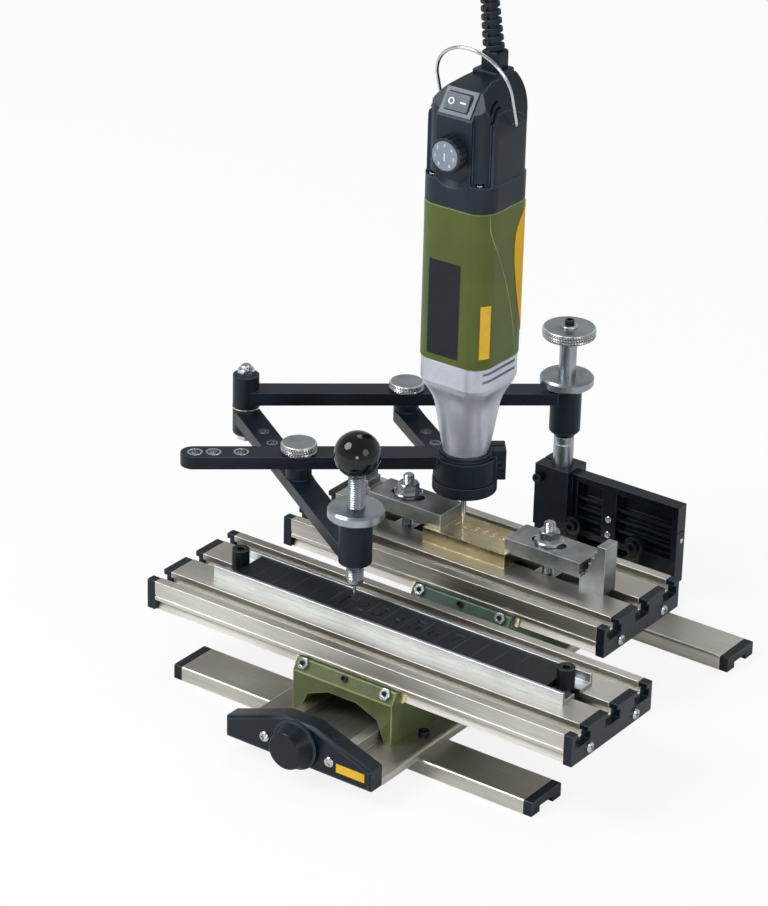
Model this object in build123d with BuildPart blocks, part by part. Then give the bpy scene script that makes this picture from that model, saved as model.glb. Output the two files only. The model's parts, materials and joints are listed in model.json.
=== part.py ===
from build123d import *
import os
from math import atan2, cos, degrees, radians, sin

# Pantograph engraving machine, in millimetres. +Z is up, X runs along the two tables and Y runs to the back.
# The origin lies on the bench, midway between the two foot rails.

# Fits
slide_fit = 0.08  # between the flat faces of a slide
run_fit = 0.05  # radial, round a shaft that turns or slides
screw_fit = 0.03  # radial, round a screw that stands still
face_gap = 0.12  # between stacked faces that turn on each other

# Foot rails and their caps
foot_length = 219.0
foot_width = 25.5
foot_height = 8.0
foot_wall = 2.0
foot_cap = 5.0
foot_span = 180.0
foot_corner = 1.5
cap_tongue = 6.0
cap_arch_width = 11.0
cap_arch_height = 3.2

# Cross rail
rail_width = 88.0
rail_base = 5.0
rail_front = -134.0
rail_back = 128.5
rail_corner = 1.8
guide_width = 45.0
guide_height = 6.0
channel_width = 33.4
channel_depth = 3.8
foot_screw_x = 37.0

# Small screws of the base
m3_shank = 3.0
m3_head = 5.6
m3_head_height = 3.0

# Front end plate and knob
plate_depth = 10.0
plate_end_height = 11.5
plate_peak_height = 23.8
plate_peak_width = 19.0
plate_bevel = 1.4
base_lift = 0.2  # end plate and bracket stay this far above the underside of the rail
plate_screw_x = 19.6
plate_screw_z = 17.0
knob_height = 20.0
knob_flange_dia = 26.0
knob_flange = 2.0
knob_base_dia = 24.0
knob_face_dia = 19.0
knob_length = 8.0
spindle_dia = 8.0
spindle_ring_dia = 12.0
spindle_ring = 1.2
spindle_recess = 2.5

# Rear bracket and column clamp
bracket_depth = 8.0
bracket_width = 90.0
bracket_height = 45.8
bracket_wall = 3.5
bracket_web = 2.5
rib_pitch = 6.0
rib_height = 1.4
rib_depth = 3.6
pillar_x = 2.0
pillar_width = 9.0
pillar_hole = 3.0
pillar_hole_rise = 9.0
boss_dia = 11.0
boss_length = 4.0
boss_z = 25.0
clamp_block_z = 20.0
clamp_block_top = 56.0
clamp_block_depth = 18.0
clamp_block_left = 11.8  # from the column's axis
clamp_block_right = 9.5
clamp_slit = 1.2
clamp_screw_z = 48.5
clamp_screw_dia = 3.0
clamp_screw_head = 5.6
clamp_screw_head_height = 3.0

# Pivot column
column_x = -31.3
column_y = 132.8
column_dia = 11.0
column_bottom = 21.0
shoulder_z = 73.0
groove_z = 68.5
groove_width = 1.2
shaft_dia = 9.3
shaft_top = 137.5
lift_knob_dia = 29.0
lift_knob_z = 130.6
lift_knob_height = 5.6
disc_dia = 29.0
disc_height = 5.5

# Linkage: a rhombus of four pivots at half of the two long arms
arm_half = 85.35
rear_arm_angle = 218.83  # from the column to the elbow, in plan
diagonal_angle = -33.6  # from the elbow to the stylus, in plan
arm_width = 13.6
arm_thickness = 7.0
rear_arm_z = 93.0
front_arm_z = 95.0
low_arm_z = 81.2
hub_dia = 16.8
hub_top = 102.6
hub_chamfer = 3.2
elbow_hub_dia = 14.2
elbow_hub_top = 108.5
elbow_low_bottom = 74.0
washer_height = 0.6
washer_z = 89.7
stylus_hub_top = 105.4
tail_length = 60.5
spare_holes = (29.4, 43.5, 53.0)
link_holes = (29.4, 43.5)
spare_hole_dia = 6.0
bush_wall = 1.0
pivot_dia = 6.0
pivot_head_dia = 19.0
link_head_height = 4.4
arm_head_height = 5.4
elbow_bolt_dia = 6.0
elbow_bolt_head = 8.6
elbow_bolt_head_height = 3.0
elbow_bolt_top = 114.0
elbow_nut_height = 3.4
elbow_nut_flats = 8.0

# Split ring of the front arm and the ring of the link
ring_dia = 33.0
ring_top = 101.5
rim_dia = 27.6
rim_top = 104.0
neck_dia = 23.6
ear_reach = 20.5
ear_width = 12.0
ear_top = 105.5
ear_slit = 1.4
ring_screw_dia = 3.0
ring_screw_head = 5.4
low_ring_dia = 33.5
open_fit = 0.1  # radial, at the pivot where the linkage is open
low_ring_bottom = 81.8
low_ring_top = 88.2

# Stylus
ball_dia = 23.4
ball_z = 139.8
stylus_rod_dia = 8.9
stylus_rod_bottom = 69.0
stylus_disc_dia = 28.6
stylus_disc_height = 6.0
needle_dia = 1.6
tip_z = 58.4

# Tables and carriages
table_width = 70.0
template_length = 257.0
work_length = 200.0
table_top = 51.5
table_height = 16.2
flange_height = 10.5
dovetail_neck = 5.0
dovetail_foot = 1.6
slot_spacing = 0.3693 * table_width
slot_mouth = 7.6
slot_lip = 3.2
slot_inner = 12.4
slot_depth = 7.6
table_groove_z = 8.0
table_groove = 1.0
table_cap = 5.0
cap_slot_extra = 0.3
cap_screw_y = 0.2857 * table_width
cap_screw_z = 11.6
cap_screw_dia = 2.9
cap_screw_head = 5.4
cap_screw_head_height = 1.6
template_x = 2.0
tray_behind_stylus = 0.69
work_x = -15.2
work_before_cutter = 1.7
carriage_width = 60.0
carriage_overhang = 5.0
jaw_slope = 5.8
gib_screw_drop = 2.1  # along the slope, from its top edge down to a screw
jaw_top_gap = 0.4
leg_foot_x = 25.7
leg_knee_x = 21.2
leg_knee_z = 24.0
arch_top_x = 8.5
arch_top_z = 29.2
gib_thickness = 1.5
gib_length = 66.0
gib_screw_x = 24.8
gib_screw_dia = 2.5
gib_nut_flats = 5.5
gib_nut_height = 2.0
gib_screw_end = 0.6

# Template rail and its tiles
tray_length = 211.0
tray_width = 26.0
tray_height = 6.7
tray_wall = 1.8
tray_floor = 2.0
tray_x = 4.5
tile_count = 17
tile_thickness = 4.0
tile_gap = 0.1
tray_screw_x = 98.5
tray_screw_dia = 5.0
tray_screw_head = 9.0
tray_screw_head_height = 7.5
t_nut_length = 12.0
t_nut_gap = 0.3

# Work holding
work_block_length = 51.0
work_block_width = 25.0
work_block_height = 8.2
work_block_x = -16.5
bar_length = 46.0
bar_width = 20.0
bar_height = 8.2
bar_slot_length = 20.0
bar_overlaps = (9.0, 2.0)  # of the left and the right bar on the workpiece
stud_dia = 6.0
stud_top = 79.6
stud_reach = 18.5  # from the end of the workpiece to the stud
clamp_nut_dia = 15.0
clamp_nut_flange = 2.0
clamp_nut_flats = 10.0
clamp_nut_height = 7.0
step_height = 26.5
step_width = 11.0
step_count = 5
step_run = 1.6
step_ledge = 3.0  # the tread that carries the bar's end
step_back = 3.4

# Power tool
body_size = 42.0
body_corner = 11.0
body_wall = 2.4
nose_neck_bottom = 80.6
spigot_dia = 20.8
nose_shoulder_z = 108.0
nose_throat_z = 131.0
nose_throat_dia = 28.4
nose_skirt_z = 147.0
nose_top = 158.4
shell_height = 83.6
head_flange = 14.0
head_inset = 0.7  # of the head's sides from the shells
head_height = 48.0
head_shoulder = 24.0
head_shoulder_radius = 34.0
head_flat_width = 16.0
panel_drop = 14.0  # from the head's top to the panel's lower edge
panel_run = 8.0
panel_rise = 11.5
switch_width = 18.6
switch_length = 14.0
switch_depth = 5.0
rocker_width = 14.0
rocker_length = 9.6
rocker_rise = 1.6
rocker_tilt = 8.0  # the rocker rests on its upper end
rocker_pin_dia = 1.0
rocker_pin_reach = 1.5  # into each side of the bezel
dial_dia = 18.0
dial_length = 7.8
dial_sink = 3.0
dial_drop = 32.5
grip_rise = 16.6  # from the shells' lower edge
grip_drop = 6.0  # from their upper edge
grip_width = 10.5
grip_thickness = 1.4
grip_y = 0.2143 * body_size
bail_wire = 1.8
bail_clearance = 1.6  # from the head's sides to the wire's middle
bail_bend = 1.6
bail_drop = 20.0
bail_y = 1.4
bail_rise = 38.0
bail_forward = 12.0
bail_pin = 3.4
sleeve_inset = 7.3  # from the head's back to the sleeve's axis
sleeve_block = 12.0
sleeve_block_height = 12.0
sleeve_base_dia = 11.0
sleeve_tip_dia = 8.2
sleeve_length = 50.0
sleeve_bore = 5.2
sleeve_lean = 5.5
motor_clearance = 4.5
motor_rise = 7.6
motor_drop = 14.0
tool_spindle_dia = 8.0
collet_dia = 7.0
collet_z = 76.0
cutter_dia = 2.8
cutter_cone = 8.0
work_gap = 0.1

# Derived places
rail_bottom = foot_height
rail_top = rail_bottom + rail_base
guide_top = rail_top + guide_height
table_bottom = table_top - table_height
flange_bottom = table_top - flange_height
carriage_depth = table_width + 2 * carriage_overhang
slot_rows = (-slot_spacing, 0.0, slot_spacing)
shell_top = nose_top + shell_height
head_step_z = shell_top + head_flange
head_top = head_step_z + head_height
head_size = body_size - 2 * head_inset
head_shoulder_z = head_top - head_shoulder
panel_low = head_top - panel_drop
dial_z = head_top - dial_drop
bail_z = head_top - bail_drop
bail_half = head_size / 2 + bail_clearance
grip_low = nose_top + grip_rise
grip_high = shell_top - grip_drop
sleeve_y = head_size / 2 - sleeve_inset
motor_dia = body_size - 2 * motor_clearance
motor_bottom = nose_top + motor_rise
motor_top = shell_top - motor_drop


def away(point, angle, distance):
    """The plan point that lies a distance from another, in a direction given in degrees."""
    return (point[0] + distance * cos(radians(angle)), point[1] + distance * sin(radians(angle)))


column = (column_x, column_y)
elbow = away(column, rear_arm_angle, 2 * arm_half)
stylus = away(elbow, diagonal_angle, 2 * arm_half)
link_pivot = away(column, rear_arm_angle, arm_half)
arm_pivot = away(elbow, diagonal_angle, arm_half)
cutter = away(link_pivot, diagonal_angle, arm_half)
template_front = stylus[1] + tray_behind_stylus - table_width / 2
work_front = cutter[1] - work_before_cutter - table_width / 2


def level(point, z):
    """A level plane with its origin over a plan point."""
    return Plane((point[0], point[1], z))


def along(point, angle, z):
    """A level plane at a plan point whose x axis looks along an angle in degrees."""
    return Plane((point[0], point[1], z), x_dir=(cos(radians(angle)), sin(radians(angle)), 0))


def front_plane(x, y, z):
    """An upright plane that faces the front, with its y axis up."""
    return Plane((x, y, z), x_dir=(1, 0, 0), z_dir=(0, -1, 0))


def side_plane(x, y, z):
    """An upright plane that faces +X, with its x axis to the back and its y axis up."""
    return Plane((x, y, z), x_dir=(0, 1, 0), z_dir=(1, 0, 0))


def keep(piece, name):
    """Labels a finished piece and writes its STEP file."""
    piece.part.label = name
    export_step(piece.part, f"parts/{name}.step")


os.makedirs("parts", exist_ok=True)

# ---------------------------------------------------------------- foot rails
rail_screw_bottom = foot_height - foot_wall


def foot_rail(y):
    """An inverted channel with two holes for the screws that hold the cross rail."""
    body_length = foot_length - 2 * foot_cap
    with BuildPart() as foot:
        with BuildSketch(side_plane(-body_length / 2, y, 0)):
            with Locations((0, foot_height / 2)):
                Rectangle(foot_width, foot_height)
            with Locations((0, (foot_height - foot_wall) / 2)):
                Rectangle(foot_width - 2 * foot_wall, foot_height - foot_wall, mode=Mode.SUBTRACT)
        extrude(amount=body_length)
        fillet(foot.edges().filter_by(Axis.X).group_by(Axis.Z)[-1], foot_corner)
        with BuildSketch(Plane((0, y, 0))):
            with Locations((-foot_screw_x, 0), (foot_screw_x, 0)):
                Circle(m3_shank / 2 + screw_fit)
        extrude(amount=foot_height, mode=Mode.SUBTRACT)
    return foot


for foot_name, foot_side in (("front", -1), ("rear", 1)):
    keep(foot_rail(foot_side * foot_span / 2), f"{foot_name}_foot_rail")

# The four moulded caps: a plug under the arch of each fills the channel's end.
cap_ends = [(side, y) for side in (-1, 1) for y in (-foot_span / 2, foot_span / 2)]
cap_face_x = foot_length / 2 - foot_cap
plug_width = foot_width - 2 * foot_wall - 2 * screw_fit
plug_top = foot_height - foot_wall - screw_fit
with BuildPart() as foot_caps:
    for side, y in cap_ends:
        with BuildSketch(Plane((side * cap_face_x, y, 0), x_dir=(0, side, 0), z_dir=(side, 0, 0))):
            with Locations((0, foot_height / 2)):
                Rectangle(foot_width, foot_height)
            with Locations((0, cap_arch_height / 2)):
                Rectangle(cap_arch_width, cap_arch_height, mode=Mode.SUBTRACT)
        extrude(amount=foot_cap)
    fillet(foot_caps.edges().filter_by(Axis.X).group_by(Axis.Z)[-1], foot_corner)
    for side, y in cap_ends:
        with BuildSketch(Plane((side * cap_face_x, y, 0), x_dir=(0, -side, 0), z_dir=(-side, 0, 0))):
            with Locations((0, (plug_top + cap_arch_height) / 2)):
                Rectangle(plug_width, plug_top - cap_arch_height)
        extrude(amount=cap_tongue)
keep(foot_caps, "foot_caps")

with BuildPart() as foot_screws:
    foot_rows = (-foot_span / 2, foot_span / 2)
    foot_screw_spots = [(x, y) for x in (-foot_screw_x, foot_screw_x) for y in foot_rows]
    with BuildSketch(Plane.XY.offset(rail_screw_bottom)):
        with Locations(*foot_screw_spots):
            Circle(m3_shank / 2)
    extrude(amount=rail_top - rail_screw_bottom)
    with BuildSketch(Plane.XY.offset(rail_top)):
        with Locations(*foot_screw_spots):
            Circle(m3_head / 2)
    extrude(amount=m3_head_height)
    with BuildSketch(Plane.XY.offset(rail_top + m3_head_height)):
        with Locations(*foot_screw_spots):
            RegularPolygon(m3_head / 5, 6)
    extrude(amount=-m3_head_height / 2, mode=Mode.SUBTRACT)
keep(foot_screws, "foot_screws")

# ---------------------------------------------------------------- cross rail
with BuildPart() as cross_rail:
    with BuildSketch(front_plane(0, rail_back, rail_bottom)):
        with Locations((0, rail_base / 2)):
            Rectangle(rail_width, rail_base)
        with Locations((0, rail_base + guide_height / 2)):
            Rectangle(guide_width, guide_height)
        with Locations((0, rail_base + guide_height - channel_depth / 2)):
            Rectangle(channel_width, channel_depth, mode=Mode.SUBTRACT)
    extrude(amount=rail_back - rail_front)
    for side in (0, -1):
        long_edges = cross_rail.edges().filter_by(Axis.Y)
        flange_edges = long_edges.filter_by_position(Axis.Z, rail_top - slide_fit, rail_top + slide_fit)
        fillet(flange_edges.sort_by(Axis.X)[side], rail_corner)
    with BuildSketch(Plane.XY.offset(rail_bottom)):
        with Locations(*foot_screw_spots):
            Circle(m3_shank / 2 + screw_fit)
    extrude(amount=rail_base, mode=Mode.SUBTRACT)
    for end_y, outward in ((rail_front, -1), (rail_back, 1)):
        with BuildSketch(front_plane(0, end_y, 0)):
            with Locations((-plate_screw_x, plate_screw_z), (plate_screw_x, plate_screw_z)):
                Circle(m3_shank / 2 + screw_fit)
        extrude(amount=outward * plate_depth, mode=Mode.SUBTRACT)
keep(cross_rail, "cross_rail")

# ---------------------------------------------------------------- front end plate and knob
plate_bottom = rail_bottom + base_lift
with BuildPart() as front_end_plate:
    with BuildSketch(front_plane(0, rail_front, plate_bottom)):
        with BuildLine():
            Polyline(
                (-rail_width / 2, 0),
                (rail_width / 2, 0),
                (rail_width / 2, plate_end_height),
                (plate_peak_width / 2, plate_peak_height),
                (-plate_peak_width / 2, plate_peak_height),
                (-rail_width / 2, plate_end_height),
                close=True,
            )
        make_face()
    extrude(amount=plate_depth)
    chamfer(front_end_plate.faces().sort_by(Axis.Y)[0].edges(), plate_bevel)
    with BuildSketch(front_plane(0, rail_front, 0)):
        with Locations((0, knob_height)):
            Circle(spindle_dia / 2 + run_fit)
        with Locations((-plate_screw_x, plate_screw_z), (plate_screw_x, plate_screw_z)):
            Circle(m3_shank / 2 + screw_fit)
    extrude(amount=plate_depth, mode=Mode.SUBTRACT)
    with BuildSketch(front_plane(0, rail_front, knob_height)):
        Circle(spindle_ring_dia / 2 + 2 * face_gap)
    extrude(amount=spindle_recess, mode=Mode.SUBTRACT)
keep(front_end_plate, "front_end_plate")

plate_face = rail_front - plate_depth
bracket_back = rail_back + bracket_depth
with BuildPart() as end_plate_screws:
    for face_y, outward in ((plate_face, -1), (bracket_back, 1)):
        for x in (-plate_screw_x, plate_screw_x):
            with BuildSketch(front_plane(x, face_y, plate_screw_z)):
                Circle(m3_head / 2)
            extrude(amount=-outward * m3_head_height / 2)
            with BuildSketch(front_plane(x, face_y, plate_screw_z)):
                Circle(m3_shank / 2)
            extrude(amount=outward * (plate_depth + m3_head_height))
keep(end_plate_screws, "end_plate_screws")

with BuildPart() as feed_knob:
    with BuildSketch(front_plane(0, rail_front - face_gap, knob_height)):
        Circle(spindle_dia / 2)
    extrude(amount=plate_depth + face_gap)
    with BuildSketch(front_plane(0, rail_front - spindle_recess + face_gap + spindle_ring, knob_height)):
        Circle(spindle_ring_dia / 2)
    extrude(amount=spindle_ring)
    with BuildSketch(front_plane(0, plate_face - face_gap, knob_height)):
        Circle(knob_flange_dia / 2)
    extrude(amount=knob_flange)
    with BuildSketch(front_plane(0, plate_face - face_gap - knob_flange, knob_height)):
        Circle(knob_base_dia / 2)
    extrude(amount=knob_length, taper=degrees(atan2((knob_base_dia - knob_face_dia) / 2, knob_length)))
    fillet(feed_knob.faces().sort_by(Axis.Y)[0].edges(), plate_bevel)
keep(feed_knob, "feed_knob")

# ---------------------------------------------------------------- rear bracket with the column clamp
block_left = column_x - clamp_block_left
block_right = column_x + clamp_block_right
block_front = column_y - clamp_block_depth / 2
clamp_screw_x = column_x - (column_dia / 2 + clamp_block_left) / 2

with BuildPart() as rear_bracket:
    with BuildSketch(front_plane(0, rail_back, plate_bottom)):
        with Locations((0, bracket_height / 2)):
            Rectangle(bracket_width, bracket_height)
    extrude(amount=-bracket_depth)
    pocket_bottom = guide_top - plate_bottom + bracket_wall
    pocket_height = bracket_height - pocket_bottom - bracket_wall
    pockets = (
        (block_right + bracket_wall, pillar_x - pillar_width / 2),
        (pillar_x + pillar_width / 2, bracket_width / 2 - bracket_wall),
    )
    for low, high in pockets:
        with BuildSketch(front_plane(0, rail_back, plate_bottom)):
            with Locations(((low + high) / 2, pocket_bottom + pocket_height / 2)):
                Rectangle(high - low, pocket_height)
        extrude(amount=-(bracket_depth - bracket_web), mode=Mode.SUBTRACT)
        rib_count = int(pocket_height / rib_pitch)
        for row in range(1, rib_count):
            with BuildSketch(front_plane(0, bracket_back - bracket_web, plate_bottom)):
                with Locations(((low + high) / 2, pocket_bottom + row * rib_pitch)):
                    Rectangle(high - low, rib_height)
            extrude(amount=rib_depth)
    with BuildSketch(Plane.XY.offset(clamp_block_z)):
        with Locations(((block_left + block_right) / 2, column_y)):
            Rectangle(block_right - block_left, clamp_block_depth)
    extrude(amount=clamp_block_top - clamp_block_z)
    with BuildSketch(front_plane(0, rail_back, boss_z)):
        with Locations((-plate_screw_x + 1, 0), (plate_screw_x + 1, 0)):
            Circle(boss_dia / 2)
    extrude(amount=boss_length)
    with BuildSketch(level(column, column_bottom)):
        Circle(column_dia / 2 + run_fit)
    extrude(amount=clamp_block_top - column_bottom, mode=Mode.SUBTRACT)
    with BuildSketch(level((block_left, column_y), clamp_block_z)):
        with Locations((0, 0)):
            Rectangle(2 * (column_x - block_left), clamp_slit)
    extrude(amount=clamp_block_top - clamp_block_z, mode=Mode.SUBTRACT)
    with BuildSketch(front_plane(clamp_screw_x, block_front, clamp_screw_z)):
        Circle(clamp_screw_dia / 2 + screw_fit)
    extrude(amount=-clamp_block_depth, mode=Mode.SUBTRACT)
    with BuildSketch(front_plane(0, rail_back, 0)):
        with Locations((-plate_screw_x, plate_screw_z), (plate_screw_x, plate_screw_z)):
            Circle(m3_shank / 2 + screw_fit)
        with Locations((pillar_x, boss_z), (pillar_x, boss_z + pillar_hole_rise)):
            Circle(pillar_hole / 2)
    extrude(amount=-bracket_depth, mode=Mode.SUBTRACT)
keep(rear_bracket, "rear_bracket")

with BuildPart() as column_clamp_screw:
    with BuildSketch(front_plane(clamp_screw_x, block_front, clamp_screw_z)):
        Circle(clamp_screw_head / 2)
    extrude(amount=clamp_screw_head_height)
    with BuildSketch(front_plane(clamp_screw_x, block_front - clamp_screw_head_height, clamp_screw_z)):
        RegularPolygon(clamp_screw_head / 4, 6)
    extrude(amount=-clamp_screw_head_height / 2, mode=Mode.SUBTRACT)
    with BuildSketch(front_plane(clamp_screw_x, block_front, clamp_screw_z)):
        Circle(clamp_screw_dia / 2)
    extrude(amount=-clamp_block_depth)
keep(column_clamp_screw, "column_clamp_screw")

# ---------------------------------------------------------------- pivot column, lift knob and height disc
with BuildPart() as pivot_column:
    with BuildSketch(level(column, column_bottom + face_gap)):
        Circle(column_dia / 2)
    extrude(amount=shoulder_z - column_bottom - face_gap)
    with BuildSketch(level(column, groove_z)):
        Circle(column_dia / 2)
        Circle(column_dia / 2 - groove_width / 2, mode=Mode.SUBTRACT)
    extrude(amount=groove_width, mode=Mode.SUBTRACT)
    with BuildSketch(level(column, shoulder_z)):
        Circle(shaft_dia / 2)
    extrude(amount=shaft_top - shoulder_z)
    chamfer(pivot_column.faces().sort_by(Axis.Z)[-1].edges(), groove_width / 2)
keep(pivot_column, "pivot_column")

with BuildPart() as lift_knob:
    with BuildSketch(level(column, lift_knob_z)):
        Circle(lift_knob_dia / 2)
        Circle(shaft_dia / 2 + screw_fit, mode=Mode.SUBTRACT)
    extrude(amount=lift_knob_height)
    chamfer(lift_knob.edges().filter_by(GeomType.CIRCLE).group_by(SortBy.RADIUS)[-1], groove_width / 2)
keep(lift_knob, "lift_knob")

hub_bottom = shoulder_z + face_gap
disc_z = hub_top + face_gap
with BuildPart() as height_disc:
    with BuildSketch(level(column, disc_z)):
        Circle(disc_dia / 2)
        Circle(shaft_dia / 2 + run_fit, mode=Mode.SUBTRACT)
    extrude(amount=disc_height)
    chamfer(height_disc.edges().filter_by(GeomType.CIRCLE).group_by(SortBy.RADIUS)[-1], groove_width / 3)
keep(height_disc, "height_disc")

# ---------------------------------------------------------------- arms of the linkage
with BuildPart() as rear_arm:
    with BuildSketch(along(column, rear_arm_angle, rear_arm_z)):
        with Locations((arm_half, 0)):
            Rectangle(2 * arm_half, arm_width)
    extrude(amount=arm_thickness)
    with BuildSketch(level(column, hub_bottom)):
        Circle(hub_dia / 2)
    extrude(amount=hub_top - hub_bottom)
    with BuildSketch(level(elbow, washer_z + washer_height)):
        Circle(elbow_hub_dia / 2)
    extrude(amount=elbow_hub_top - washer_z - washer_height)
    chamfer(rear_arm.faces().sort_by(Axis.Z)[0].edges(), hub_chamfer)
    with BuildSketch(level(column, hub_bottom)):
        Circle(shaft_dia / 2 + run_fit)
    extrude(amount=hub_top - hub_bottom, mode=Mode.SUBTRACT)
    with BuildSketch(level(elbow, washer_z)):
        Circle(elbow_bolt_dia / 2 + screw_fit)
    extrude(amount=elbow_hub_top - washer_z, mode=Mode.SUBTRACT)
    with BuildSketch(level(link_pivot, rear_arm_z)):
        Circle(pivot_dia / 2 + run_fit)
    extrude(amount=arm_thickness, mode=Mode.SUBTRACT)
keep(rear_arm, "rear_arm")

with BuildPart() as elbow_washer:
    with BuildSketch(level(elbow, washer_z)):
        Circle(elbow_hub_dia / 2 + groove_width / 4)
        Circle(elbow_bolt_dia / 2 + screw_fit, mode=Mode.SUBTRACT)
    extrude(amount=washer_height)
keep(elbow_washer, "elbow_washer")

with BuildPart() as elbow_bolt:
    with BuildSketch(level(elbow, elbow_low_bottom - face_gap)):
        Circle(elbow_bolt_head / 2)
    extrude(amount=-elbow_bolt_head_height)
    with BuildSketch(level(elbow, elbow_low_bottom - face_gap)):
        Circle(elbow_bolt_dia / 2)
    extrude(amount=elbow_bolt_top - elbow_low_bottom + face_gap)
    chamfer(elbow_bolt.faces().sort_by(Axis.Z)[-1].edges(), groove_width / 2)
keep(elbow_bolt, "elbow_bolt")

with BuildPart() as elbow_nut:
    with BuildSketch(level(elbow, elbow_hub_top)):
        RegularPolygon(elbow_nut_flats / 2, 6, major_radius=False)
        Circle(elbow_bolt_dia / 2 + screw_fit, mode=Mode.SUBTRACT)
    extrude(amount=elbow_nut_height)
keep(elbow_nut, "elbow_nut")

boss_top = front_arm_z - face_gap
with BuildPart() as diagonal_arm:
    with BuildSketch(along(elbow, diagonal_angle, low_arm_z)):
        with Locations((arm_half, 0)):
            Rectangle(2 * arm_half, arm_width)
    extrude(amount=arm_thickness)
    with BuildSketch(level(elbow, elbow_low_bottom)):
        Circle(elbow_hub_dia / 2)
    extrude(amount=washer_z - face_gap - elbow_low_bottom)
    with BuildSketch(level(stylus, low_arm_z)):
        Circle(hub_dia / 2)
    extrude(amount=stylus_hub_top - low_arm_z)
    with BuildSketch(level(arm_pivot, low_arm_z + arm_thickness)):
        Circle(arm_width / 2)
    extrude(amount=boss_top - low_arm_z - arm_thickness)
    chamfer(diagonal_arm.faces().sort_by(Axis.Z)[0].edges(), groove_width)
    with BuildSketch(level(elbow, elbow_low_bottom)):
        Circle(elbow_bolt_dia / 2 + run_fit)
    extrude(amount=washer_z - elbow_low_bottom, mode=Mode.SUBTRACT)
    with BuildSketch(level(arm_pivot, low_arm_z)):
        Circle(pivot_dia / 2 + screw_fit)
    extrude(amount=boss_top - low_arm_z, mode=Mode.SUBTRACT)
    with BuildSketch(level(stylus, low_arm_z)):
        Circle(stylus_rod_dia / 2 + run_fit)
    extrude(amount=stylus_hub_top - low_arm_z, mode=Mode.SUBTRACT)
    with BuildSketch(along(elbow, diagonal_angle, low_arm_z)):
        with Locations(*[(hole, 0) for hole in link_holes]):
            Circle(spare_hole_dia / 2)
    extrude(amount=arm_thickness, mode=Mode.SUBTRACT)
keep(diagonal_arm, "diagonal_arm")

link_boss_top = rear_arm_z - face_gap
with BuildPart() as link_arm:
    with BuildSketch(along(link_pivot, diagonal_angle, low_arm_z)):
        with Locations((arm_half / 2, 0)):
            Rectangle(arm_half, arm_width)
        Circle(arm_width / 2)
    extrude(amount=arm_thickness)
    with BuildSketch(level(cutter, low_ring_bottom)):
        Circle(low_ring_dia / 2)
    extrude(amount=low_ring_top - low_ring_bottom)
    with BuildSketch(level(link_pivot, low_arm_z + arm_thickness)):
        Circle(arm_width / 2)
    extrude(amount=link_boss_top - low_arm_z - arm_thickness)
    with BuildSketch(level(cutter, low_arm_z)):
        Circle(spigot_dia / 2 + open_fit)
    extrude(amount=arm_thickness, mode=Mode.SUBTRACT)
    with BuildSketch(level(link_pivot, low_arm_z)):
        Circle(pivot_dia / 2 + screw_fit)
    extrude(amount=link_boss_top - low_arm_z, mode=Mode.SUBTRACT)
    with BuildSketch(along(link_pivot, diagonal_angle, low_arm_z)):
        with Locations(*[(hole, 0) for hole in link_holes]):
            Circle(spare_hole_dia / 2)
    extrude(amount=arm_thickness, mode=Mode.SUBTRACT)
keep(link_arm, "link_arm")

ring_bottom = low_ring_top + 4 * face_gap
with BuildPart() as front_arm:
    with BuildSketch(along(cutter, rear_arm_angle, front_arm_z)):
        with Locations(((arm_half + tail_length - arm_width / 2) / 2, 0)):
            Rectangle(arm_half + tail_length - arm_width / 2, arm_width)
        with Locations((arm_half + tail_length - arm_width / 2, 0)):
            Circle(arm_width / 2)
    extrude(amount=arm_thickness)
    with BuildSketch(level(cutter, ring_bottom)):
        Circle(ring_dia / 2)
    extrude(amount=ring_top - ring_bottom)
    with BuildSketch(level(cutter, ring_top)):
        Circle(rim_dia / 2)
    extrude(amount=rim_top - ring_top)
    with BuildSketch(along(cutter, rear_arm_angle + 180, ring_bottom)):
        with Locations((ear_reach / 2, 0)):
            Rectangle(ear_reach, ear_width)
    extrude(amount=ear_top - ring_bottom)
    with BuildSketch(level(cutter, ring_bottom)):
        Circle(neck_dia / 2 + screw_fit)
    extrude(amount=ear_top - ring_bottom, mode=Mode.SUBTRACT)
    with BuildSketch(along(cutter, rear_arm_angle + 180, ring_bottom)):
        with Locations((ear_reach / 2, 0)):
            Rectangle(ear_reach, ear_slit)
    extrude(amount=ear_top - ring_bottom, mode=Mode.SUBTRACT)
    ear_screw_spot = away(cutter, rear_arm_angle + 180, ear_reach - ring_screw_dia)
    ear_screw_z = (ring_bottom + ear_top) / 2
    across = (cos(radians(rear_arm_angle + 90)), sin(radians(rear_arm_angle + 90)), 0)
    ear_axis = Plane((*ear_screw_spot, ear_screw_z), x_dir=(0, 0, 1), z_dir=across)
    with BuildSketch(ear_axis):
        Circle(ring_screw_dia / 2 + screw_fit)
    extrude(amount=ear_width, both=True, mode=Mode.SUBTRACT)
    with BuildSketch(ear_axis.offset(-ear_width / 2)):
        Circle(ring_screw_head / 2 + 2 * face_gap)
    extrude(amount=-ear_width / 2, mode=Mode.SUBTRACT)
    with BuildSketch(level(arm_pivot, front_arm_z)):
        Circle(pivot_dia / 2 + run_fit)
    extrude(amount=arm_thickness, mode=Mode.SUBTRACT)
    with BuildSketch(along(arm_pivot, rear_arm_angle, front_arm_z)):
        with Locations(*[(hole, 0) for hole in spare_holes]):
            Circle(spare_hole_dia / 2 + bush_wall)
    extrude(amount=arm_thickness, mode=Mode.SUBTRACT)
keep(front_arm, "front_arm")

with BuildPart() as front_arm_bushes:
    with BuildSketch(along(arm_pivot, rear_arm_angle, front_arm_z)):
        with Locations(*[(hole, 0) for hole in spare_holes]):
            Circle(spare_hole_dia / 2 + bush_wall - screw_fit)
            Circle(spare_hole_dia / 2, mode=Mode.SUBTRACT)
    extrude(amount=arm_thickness)
keep(front_arm_bushes, "front_arm_bushes")

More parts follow.
